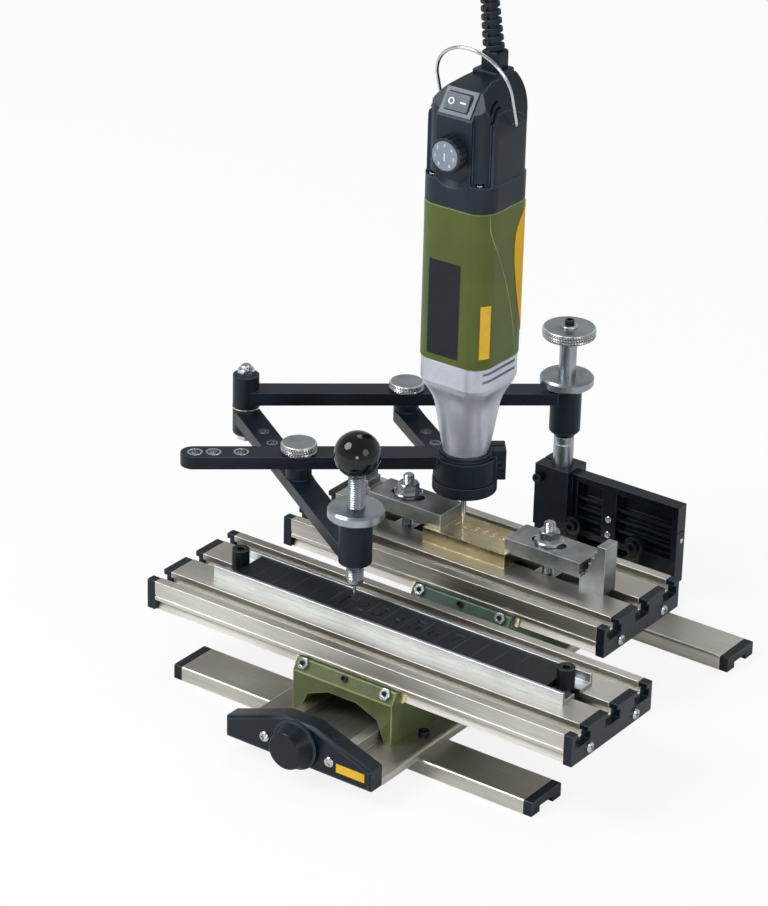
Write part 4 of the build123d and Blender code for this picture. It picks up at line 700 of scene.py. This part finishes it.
class ENGRAVER_OT_column(bpy.types.Operator):
    """Rear bracket with its screws, clamp screw, pivot column, lift knob and height disc"""
    bl_idname = "engraver.column"
    bl_label = "Rear bracket and column"

    def execute(self, context):
        # A seam line across each end of the bracket.
        low, high = corners("rear_bracket")
        bracket = carve(soften(cad_shape("rear_bracket"), 0.25),
                        block((high.x - 0.4, 128.0, 38.4), (high.x + 1, 137.0, 39.0)),
                        block((low.x - 1, low.y - 1, 38.4), (low.x + 2.3, high.y + 1, 39.0)))
        instead(bracket, "rear_bracket")
        fixings = [frame_to(cross_head(1.9, 0.9), RIGHT, UP, FRONT, (2.0, 128.6, z)) for z in (25.0, 34.0)]
        fixings.append(frame_to(disc(1.5, 0, 0.6), BACK, UP, RIGHT, (high.x - 0.4, 133.5, 33.0)))
        piece(join(*fixings), "bracket_fixings", "base", "bright_steel")
        bolts = [frame_to(socket_head(3.1, 2.0, 2.6), RIGHT, UP, FRONT, (x, low.y + 0.8, 25.0))
                 for x in (-18.6, 20.6)]
        piece(join(*bolts), "bracket_bolts", "base", "black_steel")
        eased("column_clamp_screw", 0.2)
        eased("pivot_column", 0.25, "turned_column")
        low, high = corners("lift_knob")
        instead(knurled(14.5, low.z, high.z, COLUMN), "lift_knob", ("turned_column", "knurled_steel_painted_light"), 20)
        screw = shift(socket_head(2.5, 3.0, 2.6), *COLUMN, corners("pivot_column")[1].z - 0.2)
        piece(screw, "lift_knob_set_screw", "column", "black_steel")
        low, high = corners("height_disc")
        instead(disc(14.5, low.z, high.z, COLUMN, 1.1, 96, 4.7), "height_disc", "turned_column")
        return {"FINISHED"}


class ENGRAVER_OT_tables(bpy.types.Operator):
    """The two T-slot tables with their caps and cap screws"""
    bl_idname = "engraver.tables"
    bl_label = "Tables"

    def execute(self, context):
        for table in ("template", "work"):
            eased(table + "_table", 0.22, "anodised_along_x")
            eased(table + "_table_caps", 0.35)
            end_screws(table + "_cap_screws", "x", "y", 20, 2.7, 1.5, sink=1.6, tilt=30)
        return {"FINISHED"}


class ENGRAVER_OT_carriages(bpy.types.Operator):
    """The two carriages, their brass gibs, grub screws and lock nuts"""
    bl_idname = "engraver.carriages"
    bl_label = "Carriages"

    def execute(self, context):
        eased("front_carriage", size("moulded_edge"), least=25.0)
        # The rear carriage takes its enamel with painted shade.
        eased("rear_carriage", size("moulded_edge"), "sea_casting", least=25.0)
        eased("gib_strips", 0.12)
        eased("gib_nuts")
        # The middle screw of each carriage locks its table and has a socket head.
        heads = [frame_to(socket_head(1.7, 1.6, 1.7), RIGHT, SLOPE_UP, SLOPE_OUT, at) for at in LOCK_SCREWS]
        instead(join(soften(cad_shape("gib_screws"), 0.1), *heads), "gib_screws", "black_steel")
        return {"FINISHED"}


class ENGRAVER_OT_template(bpy.types.Operator):
    """The template rail with its engraved tiles and screws"""
    bl_idname = "engraver.template"
    bl_label = "Template rail and tiles"

    def execute(self, context):
        # A groove along each side of the rail and a notch in each end of its floor.
        low, high = corners("template_rail")
        middle = (low + high) / 2
        cuts = [block((low.x - 1, y - 0.35, 54.5), (high.x + 1, y + 0.35, 55.1)) for y in (low.y, high.y)]
        cuts += [block((x - 7, middle.y - 2.6, low.z - 0.5), (x + 7, middle.y + 2.6, 53.7))
                 for x in (low.x, high.x)]
        instead(carve(soften(cad_shape("template_rail"), 0.2), *cuts), "template_rail")
        digits = number_row(TILE_ROW, TILE_PITCH, size("digit"), size("digit_depth") * 1.6)
        tiles = carve(soften(cad_shape("digit_tiles"), 0.25), digits)
        # The walls of the digits get a painted highlight.
        mark(tiles, [f for f in tiles.faces if abs(f.normal.z) < 0.3 and inside_row(f, TILE_ROW)])
        instead(tiles, "digit_tiles", sharp=25)
        eased("template_screws")
        dress("template_t_nuts", "black_steel")
        return {"FINISHED"}


class ENGRAVER_OT_work(bpy.types.Operator):
    """Engraved workpiece, clamp bars with serrated ends, threaded studs, flange nuts and step blocks"""
    bl_idname = "engraver.work"
    bl_label = "Work holding"

    def execute(self, context):
        # The linkage halves what the stylus follows, so the digits here are half as large as on the tiles.
        digits = number_row(WORK_ROW, TILE_PITCH / 2, size("digit") / 2, size("digit_depth"))
        plate = carve(block(*corners("workpiece"), 0.3), digits)
        plate.normal_update()
        # The digits take the cut finish, with its painted highlight; the sides take the drawn finish, with
        # its painted shade.
        for face in plate.faces:
            face.material_index = 1 if inside_row(face, WORK_ROW) else 2 if abs(face.normal.z) < 0.3 else 0
        instead(plate, "workpiece", ("brass", "cut_brass", "drawn_brass"), 25)
        # Five teeth down the outer end of each bar.
        low, high = corners("clamp_bars")
        bars = soften(cad_shape("clamp_bars"), 0.3)
        for end, out in ((low.x, -1), (high.x, 1)):
            teeth = [(end + out, low.z + 1.7), (end + out, high.z + 1.1)]
            for n in range(5):
                tip = high.z - 1.3 * n
                teeth += [(end - 0.1 * out, tip), (end - out, tip - 0.65)]
            bars = carve(bars, prism(teeth, low.y - 1, high.y + 1))
        instead(bars, "clamp_bars")
        eased("step_blocks", 0.15)
        # Each stud is a foot in the slot, a thread and a plain tip; each nut stands on a flange.
        flange, crown = (corner.z for corner in corners("clamp_nuts"))
        low, high = corners("clamp_studs")
        nuts, studs = [], []
        for x in (low.x + 6, high.x - 6):
            spot = (x, (low.y + high.y) / 2)
            nuts += [nut(10.0, flange + 1.7, crown, spot, 12 + x),
                     disc(7.5, flange, flange + 2, spot, 0.5, 48)]
            studs += [block((x - 6, low.y, low.z), (x + 6, high.y, low.z + 6.9), 0.3),
                      threaded(3.0, 1.0, low.z + 6.8, high.z - 0.7, spot),
                      disc(2.75, high.z - 0.9, high.z, spot, 0.5)]
        instead(join(*nuts), "clamp_nuts")
        instead(join(*studs), "clamp_studs", sharp=40)
        return {"FINISHED"}


class ENGRAVER_OT_linkage(bpy.types.Operator):
    """The four arms with their hubs, rings, bushes, pivots and screws"""
    bl_idname = "engraver.linkage"
    bl_label = "Linkage"

    def execute(self, context):
        for node in ("rear_arm", "diagonal_arm", "link_arm", "front_arm"):
            eased(node, 0.4)
        eased("elbow_washer", 0.1)
        eased("elbow_bolt")
        low, high = corners("elbow_nut")
        instead(nut(8.0, low.z, high.z, ELBOW, 20), "elbow_nut")
        eased("front_arm_bushes", 0.12)
        eased("ring_clamp_screw", 0.2)
        angle = math.radians(CROSS_ARM_ANGLE)
        for (x, y), body in ((ELBOW, "stylus_lever"), (LINK_PIVOT, "link_lever")):
            spots = [(x + reach * math.cos(angle), y + reach * math.sin(angle)) for reach in LININGS]
            linings = [disc(3.0, 81.5, 87.9, spot, 0.15, 32, 2.3) for spot in spots]
            piece(join(*linings), body + "_linings", body, "bright_steel")
        for node, centre, tall, look in (("link_pivot_screw", LINK_PIVOT, 4.4, "turned_link"),
                                         ("arm_pivot_screw", ARM_PIVOT, 5.4, "turned_arm")):
            low, high = corners(node)
            head = knurled(9.5, high.z - tall, high.z, centre)
            shank = disc(2.9, low.z, high.z - tall + 0.3, centre, 0.1, 24)
            instead(join(head, shank), node, (look, "knurled_steel_painted_light"), 20)
        return {"FINISHED"}


class ENGRAVER_OT_stylus(bpy.types.Operator):
    """Ball, threaded spindle, disc nut and needle"""
    bl_idname = "engraver.stylus"
    bl_label = "Stylus"

    def execute(self, context):
        low, high = corners("stylus_disc")
        instead(disc(14.3, low.z, high.z, STYLUS, 1.2, 96, 4.6), "stylus_disc", "turned_stylus")
        rod = threaded(4.45, size("thread"), 72.0, 131.0, STYLUS)
        # Below the thread a chamfered tail holds the needle; above it a plain end goes into the ball.
        tail = lathe([(0, 69.0), (3.2, 69.0), (4.4, 70.2), (4.4, 71.9), (3.9, 72.2), (0, 72.2)], STYLUS, 40)
        top = lathe([(0, 130.8), (4.2, 130.8), (4.2, 139.0), (0, 139.0)], STYLUS, 32)
        instead(join(rod, tail, top), "stylus_spindle", "turned_stylus")
        # The ball, with a small flat below.
        low, high = corners("stylus_ball")
        radius = 11.7
        ball = bmesh.new()
        bmesh.ops.create_uvsphere(ball, u_segments=72, v_segments=48, radius=radius)
        cut_off(ball, -10.8, -1)
        instead(shift(tidy(ball), *STYLUS, high.z - radius), "stylus_ball", sharp=50)
        dress("stylus_needle", "bright_steel")
        return {"FINISHED"}


def beads(skin, line, radius, sink):
    """A round bead along a line of (y, z) points on the tool's right side, and its twin on the left, both
    marked for a painted highlight.
    """
    spots = [skin.ray_cast((TOOL[0] + 30, y, z), (-1, 0, 0))[0] - Vector((sink, 0, 0)) for y, z in line]
    return mark(tube(spots, radius)), mirrored(mark(tube(spots, radius)), TOOL[0])


class ENGRAVER_OT_nose(bpy.types.Operator):
    """The tool's die-cast nose: square skirt with vents, bell and round neck"""
    bl_idname = "engraver.nose"
    bl_label = "Tool nose"

    def execute(self, context):
        # Height, half width, and how square the section is.
        sections = ((80.6, 10.0, 0), (81.0, 10.4, 0), (88.6, 10.4, 0), (88.7, 11.8, 0), (104.6, 11.8, 0),
                    (106, 12.2, 0), (109, 12.9, 0), (113.6, 13.6, 0.1), (118, 14.1, 0.2), (123, 14.5, 0.32),
                    (129, 15.0, 0.5), (132, 15.4, 0.6), (134.8, 16.0, 0.7), (137, 16.7, 0.8),
                    (139, 17.5, 0.88), (141, 18.5, 0.95), (142.6, 19.3, 1), (144, 19.8, 1), (145.4, 20.0, 1),
                    (145.7, 20.3, 1), (146.1, 20.5, 1), (158.0, 20.5, 1), (158.4, 20.2, 1))
        # The corner radius of a fully square section, as a share of its half width.
        corner = 0.512
        nose = bmesh.new()
        bmesh.ops.create_circle(nose, cap_ends=True, segments=128, radius=sections[0][1])
        shift(nose, z=sections[0][0])
        ring = nose.edges[:]
        for z, half, square in sections[1:]:
            made = bmesh.ops.extrude_edge_only(nose, edges=ring)["geom"]
            ring = [g for g in made if isinstance(g, bmesh.types.BMEdge)]
            for vert in (g for g in made if isinstance(g, bmesh.types.BMVert)):
                way = vert.co.to_2d().normalized()
                wide, slim = max(abs(way.x), abs(way.y)), min(abs(way.x), abs(way.y))
                reach = 1 / wide
                if slim / wide > 1 - corner:
                    lean = (1 - corner) * (wide + slim)
                    reach = lean + math.sqrt(lean ** 2 - 2 * (1 - corner) ** 2 + corner ** 2)
                radius = half * (1 - square + square * reach)
                vert.co = (way.x * radius, way.y * radius, z)
        bmesh.ops.holes_fill(nose, edges=ring, sides=0)
        vents = [block((x - 1.4, 16.5, z - 0.75), (x + 1.4, 43.0, z + 0.75))
                 for z in (151.4, 155.6) for x in (-6.9, -46.5)]
        instead(carve(shift(tidy(nose), *TOOL), *vents), "tool_nose", sharp=35)
        return {"FINISHED"}


class ENGRAVER_OT_shells(bpy.types.Operator):
    """The tool's green shells with their seams, the wrapped yellow grips and the bare plates"""
    bl_idname = "engraver.shells"
    bl_label = "Tool shells"

    def execute(self, context):
        low, high = corners("tool_shells")
        body = block(low, high, 11.0, 14, upright, painted_highlight=False)
        soften(body, 0.4, least=60)
        skin = BVHTree.FromBMesh(body)
        # The seam between the shells: a bead with a painted highlight.
        seam = [(16.9, 241.6), (17.0, 238), (17.3, 233.5), (18.6, 229), (20.8, 224), (23.0, 219.7),
                (26.6, 212), (30.1, 204.6), (33.6, 195), (36.7, 185.0), (39.2, 175), (40.9, 166), (41.6, 159)]
        instead(join(body, *beads(skin, seam, 0.3, 0.12)), "tool_shells", sharp=25)

        # The grips: a slightly larger body, cut to a leaf seen from the side and a tongue seen from behind.
        leaf = [(54.5, 241.0), (49.5, 240.0), (45.6, 237.4), (42.2, 233.6), (39.6, 229.6), (38.1, 225.5),
                (37.5, 220), (37.7, 212), (38.9, 204), (40.2, 196), (42.0, 188), (44.0, 180.5), (46.4, 174),
                (49.5, 169.5), (54.5, 167.5)]
        back = [(-2, 165), (-2, 243), (-7, 242), (-11, 238.5), (-13.8, 232), (-15.0, 222), (-15.2, 208),
                (-14.6, 192), (-13, 180), (-10.5, 172), (-7, 167)]
        proud = block((low.x - 0.35, low.y - 0.35, 160), (high.x + 0.35, high.y + 0.35, 241.8), 11.35, 14,
                      upright, painted_highlight=False)
        grip = carve(proud, prism(leaf, -16, 0, "YZ"), prism(back, 20, 60), operation="INTERSECT")
        twin = mirrored(grip.copy(), TOOL[0])
        instead(join(grip, twin), "grip_inserts", sharp=25)

        plate = block((-38.4, 10.9, 162.2), (-19.6, 11.3, 213.2), 0.08)
        piece(plate, "type_plate", "tool_lever", "dark_plate")
        label = shift(sector(10.6, 11.14, 164.6, 193.2, -45, 30), -16.7, 22.05)
        piece(label, "corner_plate", "tool_lever", "yellow_plate")
        return {"FINISHED"}


class ENGRAVER_OT_head(bpy.types.Operator):
    """The tool's head with its corner channels, arc slots, side panels, screws and the sleeve's plinth"""
    bl_idname = "engraver.head"
    bl_label = "Tool head"

    def execute(self, context):
        low, high = corners("tool_head")
        # The crown as seen from the front: straight sides that turn over in an arc of radius 34.
        arc = [math.radians(3.76 + 4.674 * n) for n in range(11)]
        half = [(20.6, 249), (20.6, 278)]
        half += [(34 * math.cos(a) - 13.63, 277.77 + 34 * math.sin(a)) for a in arc]
        crown = [(TOOL[0] + x, z) for x, z in half] + [(TOOL[0] - x, z) for x, z in reversed(half)]
        # What is cut away above, as seen from the side: the switch's slope, then a gentler rise to the back.
        slope = [(10, 306), (10, 287.48), (19.75, 301.5), (31.25, 304), (40.45, 306)]
        head = block((low.x + 0.7, low.y, 250), (high.x - 0.7, high.y - 0.7, 305.5), 10.3, 12, upright,
                     painted_highlight=False)
        head = carve(carve(head, prism(crown, 5, 60), operation="INTERSECT"), prism(slope, -50, -3, "YZ"))
        # The rim of each side panel: a bead with a painted highlight.
        panel = [(17.9, 256.4), (17.9, 265), (17.9, 275), (17.9, 282), (18.2, 284.5), (19, 287),
                 (20.6, 289.2), (23, 290.8), (26, 291.4), (30, 291.4), (34, 290.9), (38, 289.6), (42, 287.4),
                 (46, 284.2)]
        rims = beads(BVHTree.FromBMesh(head), panel, 0.28, 0.1)
        flange = block(low, (high.x, high.y, 256.0), 11.0, 14, upright, painted_highlight=False)
        head = carve(head, flange, operation="UNION")
        cuts = []
        for side in (0, 1):
            channel = shift(sector(8.4, 13.0, 256.0, 299.0, -87, 61, 16), -16.7, 21.7)
            seat = disc(2.2, 254.9, 257.6, HEAD_SCREW, 0.2)
            slots = [frame_to(sector(r, r + 1.3, -17.0, 0.0, 92, sweep), BACK, UP, RIGHT, (0, *BAIL_PIVOT))
                     for r, sweep in ((12.6, 46), (9.9, 64))]
            for cut in (channel, seat, *slots):
                cuts.append(mirrored(cut, TOOL[0]) if side else cut)
        dish = lathe([(0, -1), (11.8, -1), (11.8, 0.1), (8.4, 2.0), (0, 2.0)], steps=64)
        frame_to(dish, RIGHT, (0, 0, -1), BACK, (-27.6, low.y, 264.4))
        head = carve(head, *cuts, dish)
        bmesh.ops.remove_doubles(head, verts=head.verts, dist=0.005)
        bmesh.ops.dissolve_limit(head, angle_limit=math.radians(0.8), verts=head.verts, edges=head.edges)

        def open_edge(edge):
            """Whether an edge lies clear of the arc slots, whose rims stay crisp."""
            spot = (edge.verts[0].co + edge.verts[1].co) / 2
            y, z = spot.y - BAIL_PIVOT[0], spot.z - BAIL_PIVOT[1]
            return not (9 < math.hypot(y, z) < 14.5 and y < 1 and z > 0.5)

        soften(head, 0.4, least=40, wanted=open_edge)
        plinth = block((-34.4, 36.5, 302.5), (-19.0, 51.6, 306.4), 1.2, 3, painted_highlight=False)
        instead(join(head, *rims, plinth), "tool_head", sharp=28)
        right, y = HEAD_SCREW
        screws = [shift(socket_head(1.9, 1.9, 2.0), x, y, 254.8) for x in (right, 2 * TOOL[0] - right)]
        piece(join(*screws), "head_screws", "tool_lever", "bright_steel")
        return {"FINISHED"}


class ENGRAVER_OT_controls(bpy.types.Operator):
    """The rocker switch with its marks and the scalloped speed dial with its scale"""
    bl_idname = "engraver.controls"
    bl_label = "Switch and dial"

    def execute(self, context):
        eased("switch_bezel", 0.35)
        rocker = soften(cad_shape("switch_rocker"), 0.4)
        facing = Vector((0, -0.82, 0.57))
        top = max(rocker.faces, key=lambda f: f.calc_area() if f.normal.dot(facing) > 0.9 else 0)
        out, at = top.normal.copy(), top.calc_center_median()
        marks = join(shift(disc(1.75, -0.2, 0.06, (0, 0), 0.02, 32, 1.1), -3.3),
                     block((1.9, -0.4, -0.2), (5.3, 0.4, 0.06)))
        ink = frame_to(marks, RIGHT, out.cross(Vector(RIGHT)), out, at)
        instead(rocker, "switch_rocker", "rocker_plastic")
        piece(ink, "switch_marks", "rocker", "white_ink")

        ring = lathe([(0, -2.0), (4.0, -2.0), (4.0, 0.15), (8.6, 0.15), (9.0, 0.6), (9.0, 6.3), (8.4, 7.1),
                      (7.9, 7.2), (7.7, 6.9), (0, 6.9)], steps=96)
        flutes = [turn(disc(1.0, -0.5, 8.5, (9.55, 0), 0.1, 14), 20 * n) for n in range(18)]
        ring = carve(ring, join(*flutes))
        face = disc(7.55, 6.0, 7.65, (0, 0), 0.3, 64)
        # Plain digits 0 to 6 over 290 degrees, and a pointer bar.
        scale = []
        for n in range(7):
            angle = math.radians(235 - 290 * n / 6)
            x, y = 5.5 * math.cos(angle), 5.5 * math.sin(angle)
            scale.append(shift(lettering(str(n), 2.3, 0.1), x, y, 7.68))
        scale = join(*scale, block((-0.25, -2.4, 7.6), (0.25, 1.6, 7.73)))
        for shape in (ring, face, scale):
            frame_to(shape, RIGHT, UP, FRONT, (TOOL[0], 11.75, 271.5))
        instead(ring, "speed_dial", "dial_plastic", 25)
        piece(face, "dial_face", "dial", "dial_face")
        piece(scale, "dial_scale", "dial", "white_ink")
        return {"FINISHED"}


class ENGRAVER_OT_sleeve(bpy.types.Operator):
    """The wire bail, the ribbed bend sleeve, the motor, the spindle and the cutter"""
    bl_idname = "engraver.sleeve"
    bl_label = "Bail, sleeve and cutter"

    def execute(self, context):
        low, high = corners("bend_sleeve")
        x = high.x - 6.0
        foot = block((x - 5.2, low.y + 0.8, low.z), (x + 5.2, high.y - 0.8, 315.5), 1.6, 3, painted_highlight=False)
        core = lathe([(0, 0), (4.1, 0), (2.9, 49.6), (0, 49.6)], steps=40)
        # Half rings that take turns on the two sides, each a little slimmer than the one below.
        ribs = []
        for n in range(20):
            z = 5.6 + 2.12 * n
            rib = sector(2.2, 5.6 - 1.4 * z / 50, z, z + 2.45, -94 + 180 * (n % 2), 188, 12)
            ribs.append(soften(rib, 0.25, 1))
        sleeve = join(core, *ribs)
        lean = math.radians(8.0)
        frame_to(sleeve, (math.cos(lean), 0, math.sin(lean)), BACK, (-math.sin(lean), 0, math.cos(lean)),
                 (x, 45.05, 310.0))
        instead(join(foot, sleeve), "bend_sleeve", sharp=25)
        dress("hanging_bail", "bright_steel")
        dress("tool_motor", "motor_steel")
        dress("tool_spindle", "bright_steel")
        dress("cutter_bit", "bright_steel")
        return {"FINISHED"}


class ENGRAVER_OT_stage(bpy.types.Operator):
    """Pale floor, soft lamps, white background and the camera"""
    bl_idname = "engraver.stage"
    bl_label = "Stage"

    def execute(self, context):
        scene = context.scene
        scene.view_settings.view_transform = "Standard"
        bm = bmesh.new()
        bmesh.ops.create_grid(bm, x_segments=1, y_segments=1, size=6.0)
        mesh = bpy.data.meshes.new("floor")
        bm.to_mesh(mesh)
        bm.free()
        floor = bpy.data.objects.new("floor", mesh)
        scene.collection.objects.link(floor)
        paper = bpy.data.materials.new("white_paper_floor")
        paper.use_nodes = True
        tree = paper.node_tree
        tree.nodes.clear()
        lit = add(tree, "ShaderNodeBsdfDiffuse", {"Color": linear("#f4f4f3")})
        glow = add(tree, "ShaderNodeEmission", {"Color": (1, 1, 1, 1), "Strength": 1.0})
        path = add(tree, "ShaderNodeLightPath")
        # To the camera the floor glows for the most part, so that only a faint shadow shows on it.
        share = add(tree, "ShaderNodeMath", {0: path.outputs["Is Camera Ray"], 1: 0.86}, operation="MULTIPLY")
        mix = add(tree, "ShaderNodeMixShader", {0: share.outputs[0], 1: lit.outputs[0], 2: glow.outputs[0]})
        add(tree, "ShaderNodeOutputMaterial", {"Surface": mix.outputs[0]})
        mesh.materials.append(paper)

        world = bpy.data.worlds.new("studio")
        world.use_nodes = True
        scene.world = world
        tree = world.node_tree
        tree.nodes.clear()
        where = add(tree, "ShaderNodeTexCoord")
        part = add(tree, "ShaderNodeSeparateXYZ", {0: where.outputs["Generated"]})
        bright = between(tree, part.outputs["Z"], -0.1, 0.5, 0.75, 0.4)
        soft = add(tree, "ShaderNodeBackground", {"Color": (1, 1, 1, 1), "Strength": bright})
        plain = add(tree, "ShaderNodeBackground", {"Color": (1, 1, 1, 1), "Strength": 1.0})
        path = add(tree, "ShaderNodeLightPath")
        mix = add(tree, "ShaderNodeMixShader",
                  {0: path.outputs["Is Camera Ray"], 1: soft.outputs[0], 2: plain.outputs[0]})
        add(tree, "ShaderNodeOutputWorld", {"Surface": mix.outputs[0]})

        # Each lamp's place and width in metres, and its power in watts.
        for name, spot, wide, power in (("key_softbox", (-0.9, -1.1, 1.5), 1.15, 26.0),
                                        ("side_softbox", (1.5, -0.3, 0.9), 0.9, 5.0),
                                        ("back_softbox", (-0.4, 1.0, 1.9), 0.9, 6.0),
                                        ("front_softbox", (0.85, -1.35, 0.35), 0.4, 3.5)):
            lamp = bpy.data.lights.new(name, "AREA")
            lamp.shape, lamp.size, lamp.energy = "DISK", wide, power
            holder = bpy.data.objects.new(name, lamp)
            holder.location = spot
            aim = Vector((0, 0, 0.1)) - Vector(spot)
            holder.rotation_euler = aim.to_track_quat("-Z", "Y").to_euler()
            scene.collection.objects.link(holder)

        # The camera of the photograph, found from the straight edges of the tables and feet: how far round
        # and how far up it stands, and its roll.
        across, rise, roll = math.radians(35.4), math.radians(25.7), math.radians(1.47)
        back = Vector((math.sin(across) * math.cos(rise), -math.cos(across) * math.cos(rise), math.sin(rise)))
        right = Vector((math.cos(across), math.sin(across), 0))
        right = right * math.cos(roll) + back.cross(right) * math.sin(roll)
        up = back.cross(right)
        lens = bpy.data.cameras.new("photo_camera")
        lens.sensor_fit, lens.sensor_width = "HORIZONTAL", 36.0
        lens.lens = FOCAL_LENGTH / PHOTO_WIDTH * lens.sensor_width
        lens.clip_start, lens.clip_end = 0.05, 20.0
        camera = bpy.data.objects.new("photo_camera", lens)
        turned = Matrix((right, up, back)).transposed().to_4x4()
        camera.matrix_world = Matrix.Translation(Vector((898.5, -1341.9, 896.9)) * MM) @ turned
        scene.collection.objects.link(camera)
        scene.camera = camera
        return {"FINISHED"}


GROUPS = (ENGRAVER_OT_base, ENGRAVER_OT_knob, ENGRAVER_OT_column, ENGRAVER_OT_tables, ENGRAVER_OT_carriages,
          ENGRAVER_OT_template, ENGRAVER_OT_work, ENGRAVER_OT_linkage, ENGRAVER_OT_stylus, ENGRAVER_OT_nose,
          ENGRAVER_OT_shells, ENGRAVER_OT_head, ENGRAVER_OT_controls, ENGRAVER_OT_sleeve, ENGRAVER_OT_stage)


class ENGRAVER_PT_panel(bpy.types.Panel):
    """Lists the groups of pieces, the sizes and the colours"""
    bl_idname = "ENGRAVER_PT_panel"
    bl_label = "Engraver"
    bl_space_type = "VIEW_3D"
    bl_region_type = "UI"
    bl_category = "Engraver"

    def draw(self, context):
        for group in GROUPS:
            self.layout.operator(group.bl_idname)
        for settings in (context.scene.engraver_sizes, context.scene.engraver_colours):
            for name in settings.__annotations__:
                self.layout.prop(settings, name)


CLASSES = (EngraverColours, EngraverSizes, *GROUPS, ENGRAVER_PT_panel)


def register():
    for made in CLASSES:
        bpy.utils.register_class(made)
    bpy.types.Scene.engraver_colours = bpy.props.PointerProperty(type=EngraverColours)
    bpy.types.Scene.engraver_sizes = bpy.props.PointerProperty(type=EngraverSizes)


def unregister():
    del bpy.types.Scene.engraver_sizes
    del bpy.types.Scene.engraver_colours
    for made in reversed(CLASSES):
        bpy.utils.unregister_class(made)


def main():
    register()
    for group in GROUPS:
        area, action = group.bl_idname.split(".")
        getattr(getattr(bpy.ops, area), action)()


if __name__ == "__main__":
    main()
